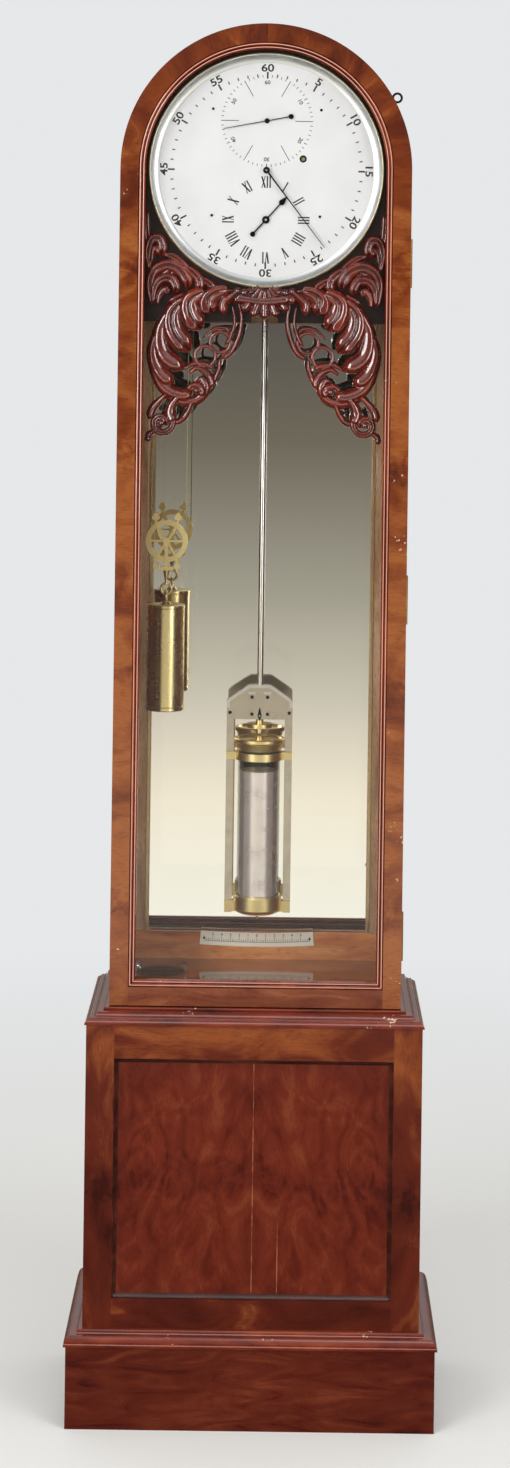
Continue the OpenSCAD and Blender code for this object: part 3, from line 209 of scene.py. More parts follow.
def mahogany(name, run, shades, figure, gloss=0.22, scuffed=0.0, hand=0.0, attribute=None, streaks=0.14,
             polish=0.05, flame=(), belt=0.04, paler_heights=None, highlight_reaches=(), seams=(), wide=22 * MM, coat_ior=1.5):
    """French-polished mahogany: broad figure, fine streaks along the grain and short dark pores under shellac.

    The figure changes every 90 mm along the grain and every `wide` across it, bent by `figure`. Streaks are 1.6 mm
    wide and pores 0.9 mm by 9 mm, twice the real ones, so that they show. `shades` run from the dark grain to the
    pale. `flame` holds the heights of dark belts of wild grain, `belt` their height, `paler_heights` the heights
    between which the wood turns paler, `highlight_reaches` the distances from the door's middle line of the pale
    lines painted on a bead's top as highlights, `seams` the pale joints of the veneer, and `attribute` names the
    height by which hollows are darkened as painted shade.
    """
    made, add = material(name)
    place = add("TexCoord").outputs["Object"]
    vector = grain_vector(add, place, run, hand)
    broad = stretched(add, vector, 90 * MM, wide, 5.0, 1.2 * figure)
    streak = stretched(add, vector, 70 * MM, 1.6 * MM, 3.0, 0.3)
    pore = stretched(add, vector, 9 * MM, 0.9 * MM, 1.0)
    cloud = stretched(add, vector, 160 * MM, 110 * MM, 2.0)
    tone = add("Math.MULTIPLY_ADD", {1: streaks}, {0: streak, 2: broad})
    tone = add("Math.MULTIPLY_ADD", {1: CLOUD_SHARE}, {0: cloud, 2: tone})
    middle = (1 + CLOUD_SHARE + streaks) / 2
    tone = add("MapRange", {"From": (middle - 0.29, middle + 0.29)}, {"Value": tone})
    x, y, z = add("SeparateXYZ", links=[place]).outputs
    if paler_heights:
        pale = add("MapRange", {"From": paler_heights, "To": (0.0, 0.34)}, {"Value": z})
        tone = add("Math.ADD", links=[tone, pale])
    for height in flame:
        tone = add("Math.SUBTRACT", links=[tone, flame_tone(add, place, height, belt)])
    colour = add("ValToRGB", links=[tone], stops=list(zip((0.0, 0.3, 0.62, 1.0), shades)))
    dark = add("MapRange", {"From": (0.34, 0.42), "To": (0.35, 0.0)}, {"Value": pore})
    over = [(dark, "#2A0D07")]
    # The carving's hollows and creases darken toward near-black by the height attribute: painted shade
    if attribute:
        hollow = add("Attribute", {"attribute_name": attribute}).outputs["Fac"]
        deep = add("MapRange", {"From": (0.0, 0.6), "To": (0.9, 0.0)}, {"Value": hollow})
        over.append((deep, "#120302"))
    # Pale lines along the tops of the door's beads: painted highlights
    for reach in highlight_reaches:
        out = band_places(add, x, z)[1]
        low = DOOR_LOW + ARCH_R - reach
        top = between(add, out, reach - 0.5 * MM, reach + 0.5 * MM, 0.35 * MM)
        foot = between(add, z, low - 0.5 * MM, low + 0.5 * MM, 0.35 * MM)
        above = add("Math.GREATER_THAN", {1: low}, [z])
        within = add("Math.LESS_THAN", {1: reach}, [out])
        top = add("Math.MULTIPLY", links=[top, above])
        foot = add("Math.MULTIPLY", links=[foot, within])
        share = add("Math.MAXIMUM", links=[top, foot])
        over.append((add("Math.MULTIPLY", {1: 0.8}, [share]), BEAD_HIGHLIGHT))
    if scuffed:
        speck = add("TexNoise", {"Scale": 230.0, "Detail": 2.0}, {"Vector": place})
        patch = add("TexNoise", {"Scale": 24.0, "Detail": 1.0}, {"Vector": place})
        both = add("Math.MULTIPLY", links=[speck, patch])
        worn = add("MapRange", {"From": (0.47 - 0.03 * scuffed, 0.50), "To": (0.0, 0.8)}, {"Value": both})
        over.append((worn, "#D9B79A"))
    for across, low, high in seams:
        line = between(add, x, across - 0.5 * MM, across + 0.5 * MM, 0.2 * MM)
        length = between(add, z, low, high, 2 * MM)
        broken = add("MapRange", {"From": (0.45, 0.55), "To": (0.15, 0.6)},
                     {"Value": stretched(add, vector, 20 * MM, 60 * MM, 2.0)})
        share = add("Math.MULTIPLY", links=[line, length])
        over.append((add("Math.MULTIPLY", links=[share, broken]), "#B8714A"))
    for share, code in over:
        colour = add("Mix", {"data_type": "RGBA", 7: linear(code)}, {0: share, 6: colour}).outputs[2]
    rough = add("MapRange", {"To": (gloss - 0.05, gloss + 0.12)}, {"Value": broad})
    height = add("Math.MULTIPLY_ADD", {1: 0.4}, {0: streak, 2: pore})
    bump = add("Bump", {"Strength": 0.12, "Distance": 0.15 * MM}, {"Height": height})
    shader = add("BsdfPrincipled", {"IOR": 1.5, "Specular IOR Level": 0.25, "Coat Weight": 0.8,
                                    "Coat Roughness": polish, "Coat IOR": coat_ior},
                 {"Base Color": colour, "Roughness": rough, "Normal": bump})
    add("OutputMaterial", links=[shader])
    return made


# To the eye the door is orange brown and belted, with painted shade darkening its arch top, its rail lighter and
# its beads with painted highlight lines on their tops, the base and its panel redder and figured, mouldings and
# carving dark red and shiny, with painted shade in the carving's hollows, the plinth dull, and the woods inside
# pale.
# The door turns darker toward the arch top above 1.45 m: painted shade, where less light falls
CROSSBANDED = mahogany("crossbanded_mahogany", "crossband", ("#331006", "#541E08", "#6D2F0D", "#8C4C20"), 1.2,
                       scuffed=0.3, streaks=0.06, flame=(1.24, 0.95, 0.66, 1.5), belt=0.02, paler_heights=(1.75, 1.45),
                       wide=60 * MM)
SIDE_SHADES = ("#340D05", "#541C07", "#682C0C", "#80411C")
UPRIGHT = mahogany("straight_grained_mahogany", "up", SIDE_SHADES, 0.8)
BENT = mahogany("bent_mahogany_veneer", "round", SIDE_SHADES, 0.8)
RAIL = mahogany("rail_mahogany", "across", ("#421508", "#64280F", "#753718", "#894B2A"), 1.0, hand=0.4, streaks=0.1)
# The bead tops carry painted highlight lines
BEADED = mahogany("beaded_mahogany", "round", ("#3E0E05", "#5F190A", "#722511", "#883E27"), 0.5, 0.1, scuffed=0.6,
                  highlight_reaches=(BEAD_OUT - 2.3 * MM, BEAD_IN + 2.4 * MM))
BASE_WOOD = mahogany("framed_mahogany", "framed", ("#330A04", "#4B1508", "#5A1D0B", "#84421C"), 0.8, 0.22, hand=0.2,
                     streaks=0.08, flame=(0.305,), paler_heights=(0.41, 0.55), wide=45 * MM)
PANEL_WOOD = mahogany("figured_mahogany_veneer", "matched", ("#461009", "#581A0C", "#642110", "#74341A"), 2.2, 0.2,
                      streaks=0.06, flame=(0.305,), wide=50 * MM, seams=((0.0, 0.17, 0.47), (0.033, 0.17, 0.26)))
# Dark all over, so that the bead shows as a dark line round the base panel
BEAD_WOOD = mahogany("dark_bead_mahogany", "across", ("#1E0804", "#30100A", "#40180E", "#562818"), 0.5, 0.12)
PLINTH_WOOD = mahogany("dark_mahogany", "across", ("#320904", "#4C1106", "#591C09", "#6D2C15"), 1.2, 0.26,
                       streaks=0.1)
MOULDED = mahogany("moulded_mahogany", "across", ("#3A0E04", "#5C1A06", "#6E240C", "#863818"), 0.8, 0.16,
                   scuffed=0.6, coat_ior=1.35)
INNER_WOOD = mahogany("inner_mahogany", "up", ("#96694A", "#B98A64", "#CC9F78", "#DEB692"), 0.5, 0.3)
FLOOR_WOOD = mahogany("polished_floor_mahogany", "across", ("#5C2212", "#8C451F", "#A55C31", "#BC7848"), 0.7, 0.08,
                      polish=0.015)
SCALE_WOOD = mahogany("orange_mahogany", "across", ("#913C17", "#C46A30", "#DB8946", "#ECA264"), 0.7, 0.2)
# Near-black so that the gaps in the carving in front of it read as shade: painted shade on a real board
SHADE_DARK_MASK_WOOD = mahogany("mask_mahogany_dark_as_shade", "across", ("#0E0403", "#170804", "#1F0A06", "#280F08"), 0.6, 0.35)
# The carving's hollows are darkened by its height attribute: painted shade
CARVED = mahogany("carved_mahogany", "up", ("#430B03", "#661506", "#7C1F09", "#922F12"), 0.6, 0.18,
                  attribute="height", polish=0.08, coat_ior=2.3)


# Metal, glass and line

def metal(name, code, rough, stain="#000000", stained=0.0, brushed=0.0, metallic=1.0):
    """A polished metal: a little uneven in polish, with tarnish or a dull film in clouds about 20 mm wide."""
    made, add = material(name)
    place = add("TexCoord").outputs["Object"]
    cloud = add("TexNoise", {"Scale": 50.0, "Detail": 4.0}, {"Vector": place})
    fine = add("TexNoise", {"Scale": 900.0, "Detail": 2.0}, {"Vector": place})
    share = add("MapRange", {"From": (0.45, 0.8), "To": (0.0, stained)}, {"Value": cloud})
    colour = add("Mix", {"data_type": "RGBA", 6: linear(code), 7: linear(stain)}, [share]).outputs[2]
    surface = add("MapRange", {"To": (rough * 0.7, rough * 1.4)}, {"Value": cloud})
    bump = add("Bump", {"Strength": 0.04 + brushed, "Distance": 0.05 * MM}, {"Height": fine})
    shader = add("BsdfPrincipled", {"Metallic": metallic},
                 {"Base Color": colour, "Roughness": surface, "Normal": bump})
    add("OutputMaterial", links=[shader])
    return made


# To the eye lacquer keeps brass a pale gold, satin brass is softer and the hinges have browned. Polished steel is
# bright, grained steel greyer, blued steel nearly black, and the grey film takes half of the mercury's shine.
BRASS = metal("lacquered_brass", "#FFEBAE", 0.26, "#D8B868", 0.2)
SATIN_BRASS = metal("satin_brass", "#FFE8A6", 0.34, "#DEBA6C", 0.3)
AGED_BRASS = metal("aged_brass", "#9A7A42", 0.35, "#5C4420", 0.5)
GILT = metal("gilt_brass_fillet", "#EBD59A", 0.2, "#B8954C", 0.3)
STEEL = metal("polished_steel", "#EAE7E0", 0.2, "#B8B4AA", 0.2)
GREY_STEEL = metal("grained_steel", "#D6CBB9", 0.24, "#B4A896", 0.3, 0.06)
BLUED = metal("blued_steel", "#171A22", 0.3)
MERCURY = metal("mercury_behind_its_grey_film", "#FDF1E8", 0.24, "#CFC0B8", 0.6, metallic=0.55)
SILVERED_RIM = metal("silvered_brass", "#F6F8F6", 0.33, "#E4EAE8", 0.2)
IRON = metal("black_iron", "#2B2724", 0.45)


def frosted(name, light, dark):
    """Frosted silvering: pale, matt, with a faint sheen and fine rings left by the lathe."""
    made, add = material(name)
    place = add("TexCoord").outputs["Object"]
    centred = add("VectorMath.SUBTRACT", {1: (0, 0, DIAL_Z)}, [place])
    rings = add("TexWave", {"wave_type": "RINGS", "rings_direction": "Y", "Scale": 180.0, "Distortion": 1.0},
                {"Vector": centred}).outputs["Fac"]
    grit = add("TexNoise", {"Scale": 1400.0, "Detail": 2.0}, {"Vector": place})
    cloud = add("TexNoise", {"Scale": 18.0, "Detail": 4.0}, {"Vector": place})
    colour = add("ValToRGB", links=[cloud], stops=[(0.3, dark), (0.7, light)])
    height = add("Math.MULTIPLY_ADD", {1: 0.3}, {0: rings, 2: grit})
    bump = add("Bump", {"Strength": 0.05, "Distance": 0.02 * MM}, {"Height": height})
    shader = add("BsdfPrincipled", {"Roughness": 0.7, "Specular IOR Level": 0.2},
                 {"Base Color": colour, "Normal": bump})
    add("OutputMaterial", links=[shader])
    return made


def looking_glass():
    """Old silvered plate: a sharp slightly warm reflection with a few dark spots where the silver has gone."""
    made, add = material("silvered_mirror_plate")
    place = add("TexCoord").outputs["Object"]
    spots = add("TexVoronoi", {"Scale": 26.0, "Randomness": 1.0}, {"Vector": place}).outputs["Distance"]
    where = add("TexNoise", {"Scale": 7.0, "Detail": 1.0}, {"Vector": place})
    near = add("MapRange", {"From": (0.05, 0.09), "To": (1.0, 0.0)}, {"Value": spots})
    some = add("MapRange", {"From": (0.58, 0.62)}, {"Value": where})
    gone = add("Math.MULTIPLY", links=[near, some])
    part = add("Math.MULTIPLY", {1: 0.45}, [gone])
    colour = add("Mix", {"data_type": "RGBA", 6: linear("#F6F4EE"), 7: linear("#6F6A60")}, [part]).outputs[2]
    rough = add("MapRange", {"To": (0.012, 0.25)}, {"Value": gone})
    shader = add("BsdfPrincipled", {"Metallic": 1.0}, {"Base Color": colour, "Roughness": rough})
    add("OutputMaterial", links=[shader])
    return made


def window_pane():
    """A thin flat pane: light goes straight through, and only the gloss of its surface shows."""
    made, add = material("crown_window_glass")
    through = add("BsdfTransparent", {"Color": linear("#FFFFFF")})
    gloss = add("BsdfGlossy", {"Color": linear("#FFFFFF"), "Roughness": 0.03})
    share = add("Fresnel", {"IOR": 1.35})
    mixed = add("MixShader", links=[share, through, gloss])
    add("OutputMaterial", links=[mixed])
    return made


def blown_glass():
    """Thin clear blown glass: light goes straight through its thin wall, and its rims and turning edges shine."""
    made, add = material("blown_glass")
    facing = add("LayerWeight", {"Blend": 0.25}).outputs["Facing"]
    tint = add("ValToRGB", links=[facing], stops=[(0.0, "#FFFFFF"), (0.7, "#FCFCFA"), (1.0, "#ECECE6")])
    through = add("BsdfTransparent", links={"Color": tint})
    gloss = add("BsdfGlossy", {"Color": linear("#FFFFFF"), "Roughness": 0.02})
    share = add("Fresnel", {"IOR": 1.3})
    share = add("Math.MULTIPLY", {1: 0.5}, [share])
    mixed = add("MixShader", links=[share, through, gloss])
    add("OutputMaterial", links=[mixed])
    return made


def gut():
    """Twisted gut line: pale yellow, a little glossy, with its twist showing every 3 mm."""
    made, add = material("twisted_gut")
    place = add("TexCoord").outputs["Object"]
    lean = add("VectorRotate", {"Angle": math.radians(35), "Axis": (0, 1, 0)}, {"Vector": place})
    twist = add("TexWave", {"bands_direction": "Z", "Scale": 105.0}, {"Vector": lean}).outputs["Fac"]
    colour = add("ValToRGB", links=[twist], stops=[(0.0, "#B9A76C"), (1.0, "#E6DBAC")])
    bump = add("Bump", {"Strength": 0.4, "Distance": 0.1 * MM}, {"Height": twist})
    shader = add("BsdfPrincipled", {"Roughness": 0.4}, {"Base Color": colour, "Normal": bump})
    add("OutputMaterial", links=[shader])
    return made


def black_wax():
    """Black wax run into the dial's engraving: flat, a little uneven."""
    made, add = material("black_engravers_wax")
    place = add("TexCoord").outputs["Object"]
    worn = add("TexNoise", {"Scale": 260.0, "Detail": 3.0}, {"Vector": place})
    colour = add("ValToRGB", links=[worn], stops=[(0.3, "#0F0E0D"), (0.8, "#2E2C29")])
    shader = add("BsdfPrincipled", {"Roughness": 0.5}, {"Base Color": colour})
    add("OutputMaterial", links=[shader])
    return made


SILVERED = frosted("frosted_silvered_dial", "#EFEFEF", "#E7E7E7")
SCALE_PLATE = frosted("frosted_silvered_scale", "#FFF8E8", "#F0E6D2")
MIRROR = looking_glass()
PANE = window_pane()
GLASS = blown_glass()
GUT = gut()
WAX = black_wax()

NODE_FINISH = {
    CROSSBANDED: "door_stiles door_arch", RAIL: "door_rail", BEADED: "door_moulding",
    UPRIGHT: "trunk_sides base_sides", BENT: "trunk_arch", BASE_WOOD: "base_frame", PANEL_WOOD: "base_panel",
    PLINTH_WOOD: "plinth_boards", MOULDED: "plinth_moulding shoulder_moulding", BEAD_WOOD: "base_bead",
    INNER_WOOD: "mirror_border backboard seatboard", FLOOR_WOOD: "trunk_floor", SCALE_WOOD: "beat_rail",
    SHADE_DARK_MASK_WOOD: "mask_board", CARVED: "apron", AGED_BRASS: "case_hinges door_hinges door_catch",
    BRASS: "movement_plates pillars suspension_cock line_anchor centre_wheel third_wheel escape_wheel "
           "great_wheel barrel motion_wheel hour_wheel guide_pulley weight",
    SATIN_BRASS: "rating_disc jar_lid jar_cup pulley_stirrup pulley_wheel", STEEL: "pendulum_rod pallets",
    GREY_STEEL: "pendulum_frame", BLUED: "minute_hand seconds_hand hour_hand brass_screws", IRON: "wall_eye",
    MERCURY: "mercury", SILVERED_RIM: "bezel", SILVERED: "dial", SCALE_PLATE: "beat_scale",
    MIRROR: "mirror_glass", PANE: "door_glass", GLASS: "glass_dish glass_jar",
    GUT: "line_lead gut_line line_bight",
}
for finish, nodes in NODE_FINISH.items():
    for node in nodes.split():
        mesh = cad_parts[node].data
        mesh.materials.clear()
        mesh.materials.append(finish)


# Surfaces

def made(name, points, faces, finish, body, smooth=False, height=None):
    """A mesh object, in a CAD body's motion if one is named. Its normals turn outward by the sign of its volume."""
    points = np.asarray(points, float)
    first, second, third = (points[np.array([face[k] for face in faces])] for k in range(3))
    if np.einsum("ij,ij->", first, np.cross(second, third)) < 0:
        faces = [tuple(reversed(face)) for face in faces]
    mesh = bpy.data.meshes.new(name)
    mesh.from_pydata(points.tolist(), [], faces)
    mesh.materials.append(finish)
    if smooth:
        mesh.shade_smooth()
    if height is not None:
        mesh.attributes.new("height", "FLOAT", "POINT").data.foreach_set("value", np.asarray(height, np.float32))
    piece = bpy.data.objects.new(name, mesh)
    scene.collection.objects.link(piece)
    if body:
        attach(piece, body)
    return piece


def joined(parts):
    """One set of points, faces and heights from several: all quads come first, then all triangles."""
    start = np.cumsum([0] + [len(part[0]) for part in parts])
    faces = [tuple(row) for kind in (1, 2) for part, first in zip(parts, start)
             for row in (np.asarray(part[kind]) + first).tolist()]
    return np.concatenate([part[0] for part in parts]), faces, np.concatenate([part[3] for part in parts])


def skin(grid, height):
    """A tube through an n by m grid of rings: points, quads, the triangles that close both ends, and heights."""
    n, m = grid.shape[:2]
    i, j = np.meshgrid(np.arange(n - 1), np.arange(m), indexing="ij")
    k = (j + 1) % m
    quads = np.stack([i * m + j, i * m + k, (i + 1) * m + k, (i + 1) * m + j], -1).reshape(-1, 4)
    j = np.arange(m)
    k = (j + 1) % m
    last = (n - 1) * m
    fans = np.concatenate([np.stack([np.full(m, n * m), k, j], -1),
                           np.stack([np.full(m, n * m + 1), last + j, last + k], -1)])
    points = np.concatenate([grid.reshape(-1, 3), grid[[0, -1]].mean(1)])
    return points, quads, fans, np.concatenate([height.ravel(), height[[0, -1]].mean(1)])


def circle(count):
    """Even angles once round."""
    return np.linspace(0, 2 * np.pi, count, endpoint=False)


def ring_quads(n, m):
    """The quads of an n by m grid that closes on itself both ways."""
    i, j = np.meshgrid(np.arange(n), np.arange(m), indexing="ij")
    k = (i + 1) % n * m
    return np.stack([i * m + j, i * m + (j + 1) % m, k + (j + 1) % m, k + j], -1).reshape(-1, 4)


def through(points, count):
    """A smooth curve through points: cubics whose slope at a point is half the step between its neighbours."""
    knots = np.asarray(points, float)
    knots = np.concatenate([[2 * knots[0] - knots[1]], knots, [2 * knots[-1] - knots[-2]]])
    place = np.linspace(0, len(points) - 1, count)
    k = np.minimum(place.astype(int), len(points) - 2)
    u = (place - k)[:, None]
    a, b, c, d = (knots[k + step] for step in range(4))
    return b + u * (c - a) / 2 + u ** 2 * (a - 2.5 * b + 2 * c - d / 2) + u ** 3 * (1.5 * (b - c) + (d - a) / 2)


def spiral(centre, radii, angles, count):
    """A curve whose radius and angle, in degrees, change evenly along it."""
    angle = np.radians(np.linspace(*angles, count))
    radius = np.linspace(*radii, count)
    return np.asarray(centre) + np.stack([radius * np.cos(angle), radius * np.sin(angle)], -1)


def carved_leaf(line, half_width, ribs, crown, base, tilt=0.0, root=0.35, tip=0.82):
    """A carved leaf along a line in the plane of the dial, in mm, with the dial centre at the origin.

    Its half width grows from `root` of the full one as the square root of the way along, and rounds off as a
    quarter circle after `tip`. Across it, s from -1 to 1, the front rises from `base` by `crown` times
    (1 - s squared) to the power 0.45, and creases half as deep part its round ribs, which end in lobes. `tilt`
    lifts one edge. The tip bends forward and over. Its height is lowest in the creases and at the edges.
    """
    crease, lobes = 0.5, 0.07
    rows, across, behind = len(line), 8 * ribs + 9, 4
    t = np.linspace(0, 1, rows)[:, None]
    s = np.concatenate([np.linspace(-1, 1, across), np.linspace(1, -1, behind + 2)[1:-1]])[None, :]
    front = (np.arange(s.size) < across)[None, :]
    rib = np.abs(np.sin(np.pi * ribs * (s + 1) / 2)) ** 0.55
    cut = (1 - rib) * np.clip(t * 5, 0, 1)
    along = np.clip(t * (1 - lobes * cut * t ** 3), 0, 1) * (rows - 1)
    k = np.minimum(along.astype(int), rows - 2)
    middle = line[k] + (along - k)[..., None] * (line[k + 1] - line[k])
    slope = np.gradient(line, axis=0)
    side = np.stack([-slope[:, 1], slope[:, 0]], -1) / np.linalg.norm(slope, axis=1)[:, None]
    swell = root + (1 - root) * np.sqrt(np.clip(t * 1.8, 0, 1))
    rounding = np.sqrt(np.clip(1 - np.clip((t - tip) / (1 - tip), 0, 1) ** 2, 0, 1))
    start = np.sqrt(np.clip(1 - (1 - np.clip(t / 0.04, 0, 1)) ** 2, 0.02, 1))
    width = half_width * swell * np.maximum(rounding, 0.03) * start
    flat = middle + s[..., None] * width[..., None] * side[:, None, :]
    body = np.clip(1 - s ** 2, 0, 1) ** 0.45 * (1 - crease * cut)
    hook = 2.2 * np.clip((t - 0.6) / 0.25, 0, 1) - 5.0 * np.clip((t - 0.85) / 0.15, 0, 1) ** 2
    rise = np.maximum(rounding, 0.15) * start * crown * body * (1 + tilt * s) + hook * np.clip(base / 4, 0, 1)
    depth = np.where(front, base + rise, np.maximum(base - 3.2 + hook * 0.6, 0.3))
    depth = np.clip(depth, 0.3, 15.2)
    # This height darkens the creases and edges in the carved finish: painted shade
    height = np.where(front, np.clip(1 - 1.1 * cut - 0.35 * np.abs(s) ** 4, 0, 1), 0.0)
    return skin(np.stack([flat[..., 0], -depth, flat[..., 1]], -1), height * np.ones_like(depth))


def carved_ball(centre, radius, depth):
    """A round boss: a ball whose middle is at a depth in front of the mask board."""
    turn = circle(20)[None, :]
    fall = np.linspace(0.05, np.pi - 0.05, 13)[:, None]
    grid = np.stack([centre[0] + radius * np.sin(fall) * np.cos(turn), -depth + radius * np.cos(fall) + 0 * turn,
                     centre[1] + radius * np.sin(fall) * np.sin(turn)], -1)
    return skin(grid, np.clip(1.2 - fall / 3, 0, 1) * np.ones_like(turn))


def carved_ring(centre, radius, half_width, depth):
    """An open ring of round section."""
    turn = circle(48)[:, None]
    round_it = circle(12)[None, :]
    reach = radius + half_width * np.cos(round_it)
    grid = np.stack([centre[0] + reach * np.cos(turn), -depth - half_width * np.sin(round_it) + 0 * turn,
                     centre[1] + reach * np.sin(turn)], -1)
    return grid.reshape(-1, 3), ring_quads(*grid.shape[:2]), np.zeros((0, 3), int), np.full(grid.size // 3, 0.8)


# Lines of the left half of the carving, in mm from the dial centre: points, half width, ribs, crown, base, tilt
PLUME = [
    ([(-38, -158), (-75, -160), (-100, -171), (-122, -187), (-136, -210), (-142, -239), (-140, -268), (-128, -292),
      (-113, -304), (-93, -305), (-79, -296), (-75, -284), (-82, -275), (-91, -279)],
     6.5, 1, 4.6, 2.2, 0.2),
    ([(-141, -232), (-143, -262), (-130, -286), (-108, -296), (-92, -292)], 9.7, 1, 6.3, 2.6, -0.25),
    ([(-137, -208), (-145, -240), (-136, -266), (-116, -282)], 11.3, 1, 6.9, 3.4, -0.3),
    ([(-124, -186), (-136, -214), (-130, -244), (-101, -263)], 13, 1, 7.5, 4.2, -0.3),
    ([(-104, -170), (-120, -190), (-117, -214), (-96, -239)], 15.7, 2, 8, 5.0, -0.3),
    ([(-78, -160), (-97, -172), (-96, -190), (-82, -210)], 16.2, 2, 8.6, 5.8, -0.3),
    ([(-48, -157), (-66, -163), (-74, -173), (-68, -189)], 13.5, 2, 8.6, 6.6, -0.3),
    ([(-36, -160), (-46, -168), (-54, -176), (-52, -191)], 7.6, 1, 7.5, 6.0, -0.2),
]
TENDRILS = [
    ([(-34, -174), (-30, -196), (-34, -220), (-44, -240), (-58, -250)], 3.9, 1, 4.4, 4.0),
    ([(-42, -178), (-39, -200), (-44, -218), (-52, -232)], 3, 1, 4.4, 5.5),
    ([(-58, -248), (-59, -262), (-64, -274), (-70, -284)], 4.1, 1, 5, 3.5),
    ([(-98, -268), (-88, -261), (-76, -266), (-68, -277), (-70, -288)], 5.1, 1, 5.5, 5.0),
    ([(-104, -262), (-92, -255), (-76, -256), (-64, -262)], 4.6, 1, 5.5, 3.0),
    ([(-100, -289), (-93, -283), (-84, -284), (-80, -291), (-86, -297)], 5.3, 1, 5.5, 5.5),
    ([(-80, -222), (-73, -214), (-64, -208), (-50, -208), (-44, -216)], 2.8, 1, 3.9, 3.0),
    ([(-112, -298), (-120, -310), (-122, -322), (-116, -332)], 8.6, 1, 6.6, 4.0),
    ([(-94, -305), (-98, -316), (-106, -328), (-118, -334)], 4.6, 1, 5.5, 3.0),
    ([(-128, -296), (-138, -306), (-146, -316), (-150, -330)], 5.8, 1, 5, 2.5),
    ([(-142, -344), (-149, -348), (-151, -354)], 4.6, 1, 4.4, 2.5),
]
CORNER = [
    ([(-148, -178), (-151, -152), (-145, -134), (-129, -126), (-113, -131), (-103, -144), (-100, -157)],
     9.5, 2, 7.8, 3.0, 0.15),
    ([(-146, -176), (-144, -156), (-136, -145), (-124, -144), (-117, -153), (-118, -163)],
     7.5, 2, 8.0, 5.0, 0.15),
    ([(-140, -178), (-138, -166), (-131, -158), (-126, -165)], 6.0, 1, 8.0, 6.5),
    ([(-151, -132), (-154, -110), (-149, -93), (-139, -92), (-135, -103), (-137, -116)], 7.8, 2, 7.8, 3.0, 0.15),
    ([(-149, -122), (-147, -108), (-142, -104), (-141, -114)], 5.0, 1, 7.5, 5.5),
    ([(-133, -112), (-122, -114), (-109, -123), (-98, -134)], 5.5, 2, 6.5, 2.5),
    ([(-108, -128), (-95, -135), (-86, -146), (-86, -160)], 7.8, 2, 8.0, 3.5, 0.15),
    ([(-90, -141), (-77, -147), (-69, -154), (-70, -164)], 6.8, 2, 7.5, 4.0, 0.1),
    ([(-56, -160), (-84, -163), (-106, -169), (-128, -180)], 9, 3, 6.0, 2.0),
    ([(-151, -112), (-155, -90), (-157, -72), (-157, -54)], 6.2, 2, 5, 1.5),
    ([(-146, -172), (-140, -150), (-128, -134), (-112, -126)], 10, 3, 5.0, 1.5),
]


def carved_shell():
    """Seven round flutes fanned about a point under the bezel, a smooth band over them, and small bosses."""
    reach = np.linspace(8, 50, 26)
    flutes = []
    for turn in np.radians(np.linspace(-58, 58, 7)):
        line = np.stack([np.sin(turn) * reach, -148 - np.cos(turn) * reach * 0.98], -1)
        flutes.append(carved_leaf(line, 7.2, 1, 6.5, 4.0 + 1.5 * np.cos(turn), tip=0.84, root=0.3))
    flutes.append(carved_leaf(through([(-38, -168), (0, -172), (38, -168)], 60), 8.5, 1, 5.0, 8.0, root=0.8))
    return flutes + [carved_ball((side * x, z), radius, 9) for side in (-1, 1)
                     for x, z, radius in ((36, -159, 5.2), (27, -161, 5.6), (18, -160, 4.4))]


def carving():
    """Both halves of the pierced apron between the dial and the mirror."""
    half = [carved_leaf(through(points, 12 * len(points)), *sizes) for points, *sizes in PLUME + TENDRILS + CORNER]
    half += [carved_leaf(spiral((-133, -333), (17, 4), (70, -400), 90), 4.8, 2, 6.0, 4.0, tip=0.95, root=0.9)]
    half += [carved_ring((-57.5, -226.5), 13.4, 2.4, 5), carved_ring((-77, -245), 13.4, 2.4, 6)]
    half += [carved_ball((-133, -333), 4.6, 9), carved_ball((-88, -290), 5.0, 9), carved_ball((-151, -354), 4.2, 4)]
    other = [(part[0] * (-1, 1, 1), part[1][:, ::-1], part[2][:, ::-1], part[3]) for part in half]
    points, faces, height = joined(half + other + carved_shell())
    points = points * MM + (0, DIAL_BACK, DIAL_Z)
    piece = made("carved_apron", points, faces, CARVED, "case", smooth=True, height=height)
    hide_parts("apron")


# Flat marks

def prisms(outlines, low, high):
    """Flat bars: each four-cornered outline in the plane of the dial, between two depths."""
    flat = np.asarray(outlines, float)
    n = len(flat)
    rings = [np.stack([flat[..., 0], np.full((n, 4), y), flat[..., 1]], -1) for y in (low, high)]
    sides = np.array([[0, 1, 2, 3], [7, 6, 5, 4], [0, 4, 5, 1], [1, 5, 6, 2], [2, 6, 7, 3], [3, 7, 4, 0]])
    faces = (np.arange(n)[:, None, None] * 8 + sides).reshape(-1, 4)
    return np.concatenate(rings, 1).reshape(-1, 3), [tuple(face) for face in faces.tolist()]


def gathered(pieces):
    """One set of points and faces from several."""
    offsets = np.cumsum([0] + [len(points) for points, _ in pieces])
    faces = [tuple(i + first for i in face) for (_, group), first in zip(pieces, offsets) for face in group]
    return np.concatenate([points for points, _ in pieces]), faces


def radial(centre, degrees, inner, outer, width):
    """Outlines of bars that point away from a centre, at angles clockwise from the top."""
    angle = np.radians(np.asarray(degrees, float))[:, None]
    out = np.concatenate([np.sin(angle), np.cos(angle)], 1)[:, None, :]
    side = np.concatenate([np.cos(angle), -np.sin(angle)], 1)[:, None, :]
    reach = np.array([inner, outer, outer, inner])[None, :, None]
    half = np.array([-1, -1, 1, 1])[None, :, None] * width / 2
    return np.asarray(centre) + out * reach + side * half


def on_ring(flat, centre, radius, degrees):
    """Turns drawn points, across and up, to stand on a ring with their tops outward."""
    angle = math.radians(degrees)
    out = np.array([math.sin(angle), math.cos(angle)])
    side = np.array([math.cos(angle), -math.sin(angle)])
    return np.asarray(centre) + flat[..., :1] * side + (radius + flat[..., 1:2]) * out


ROMAN = ["XII", "I", "II", "III", "IIII", "V", "VI", "VII", "VIII", "IX", "X", "XI"]
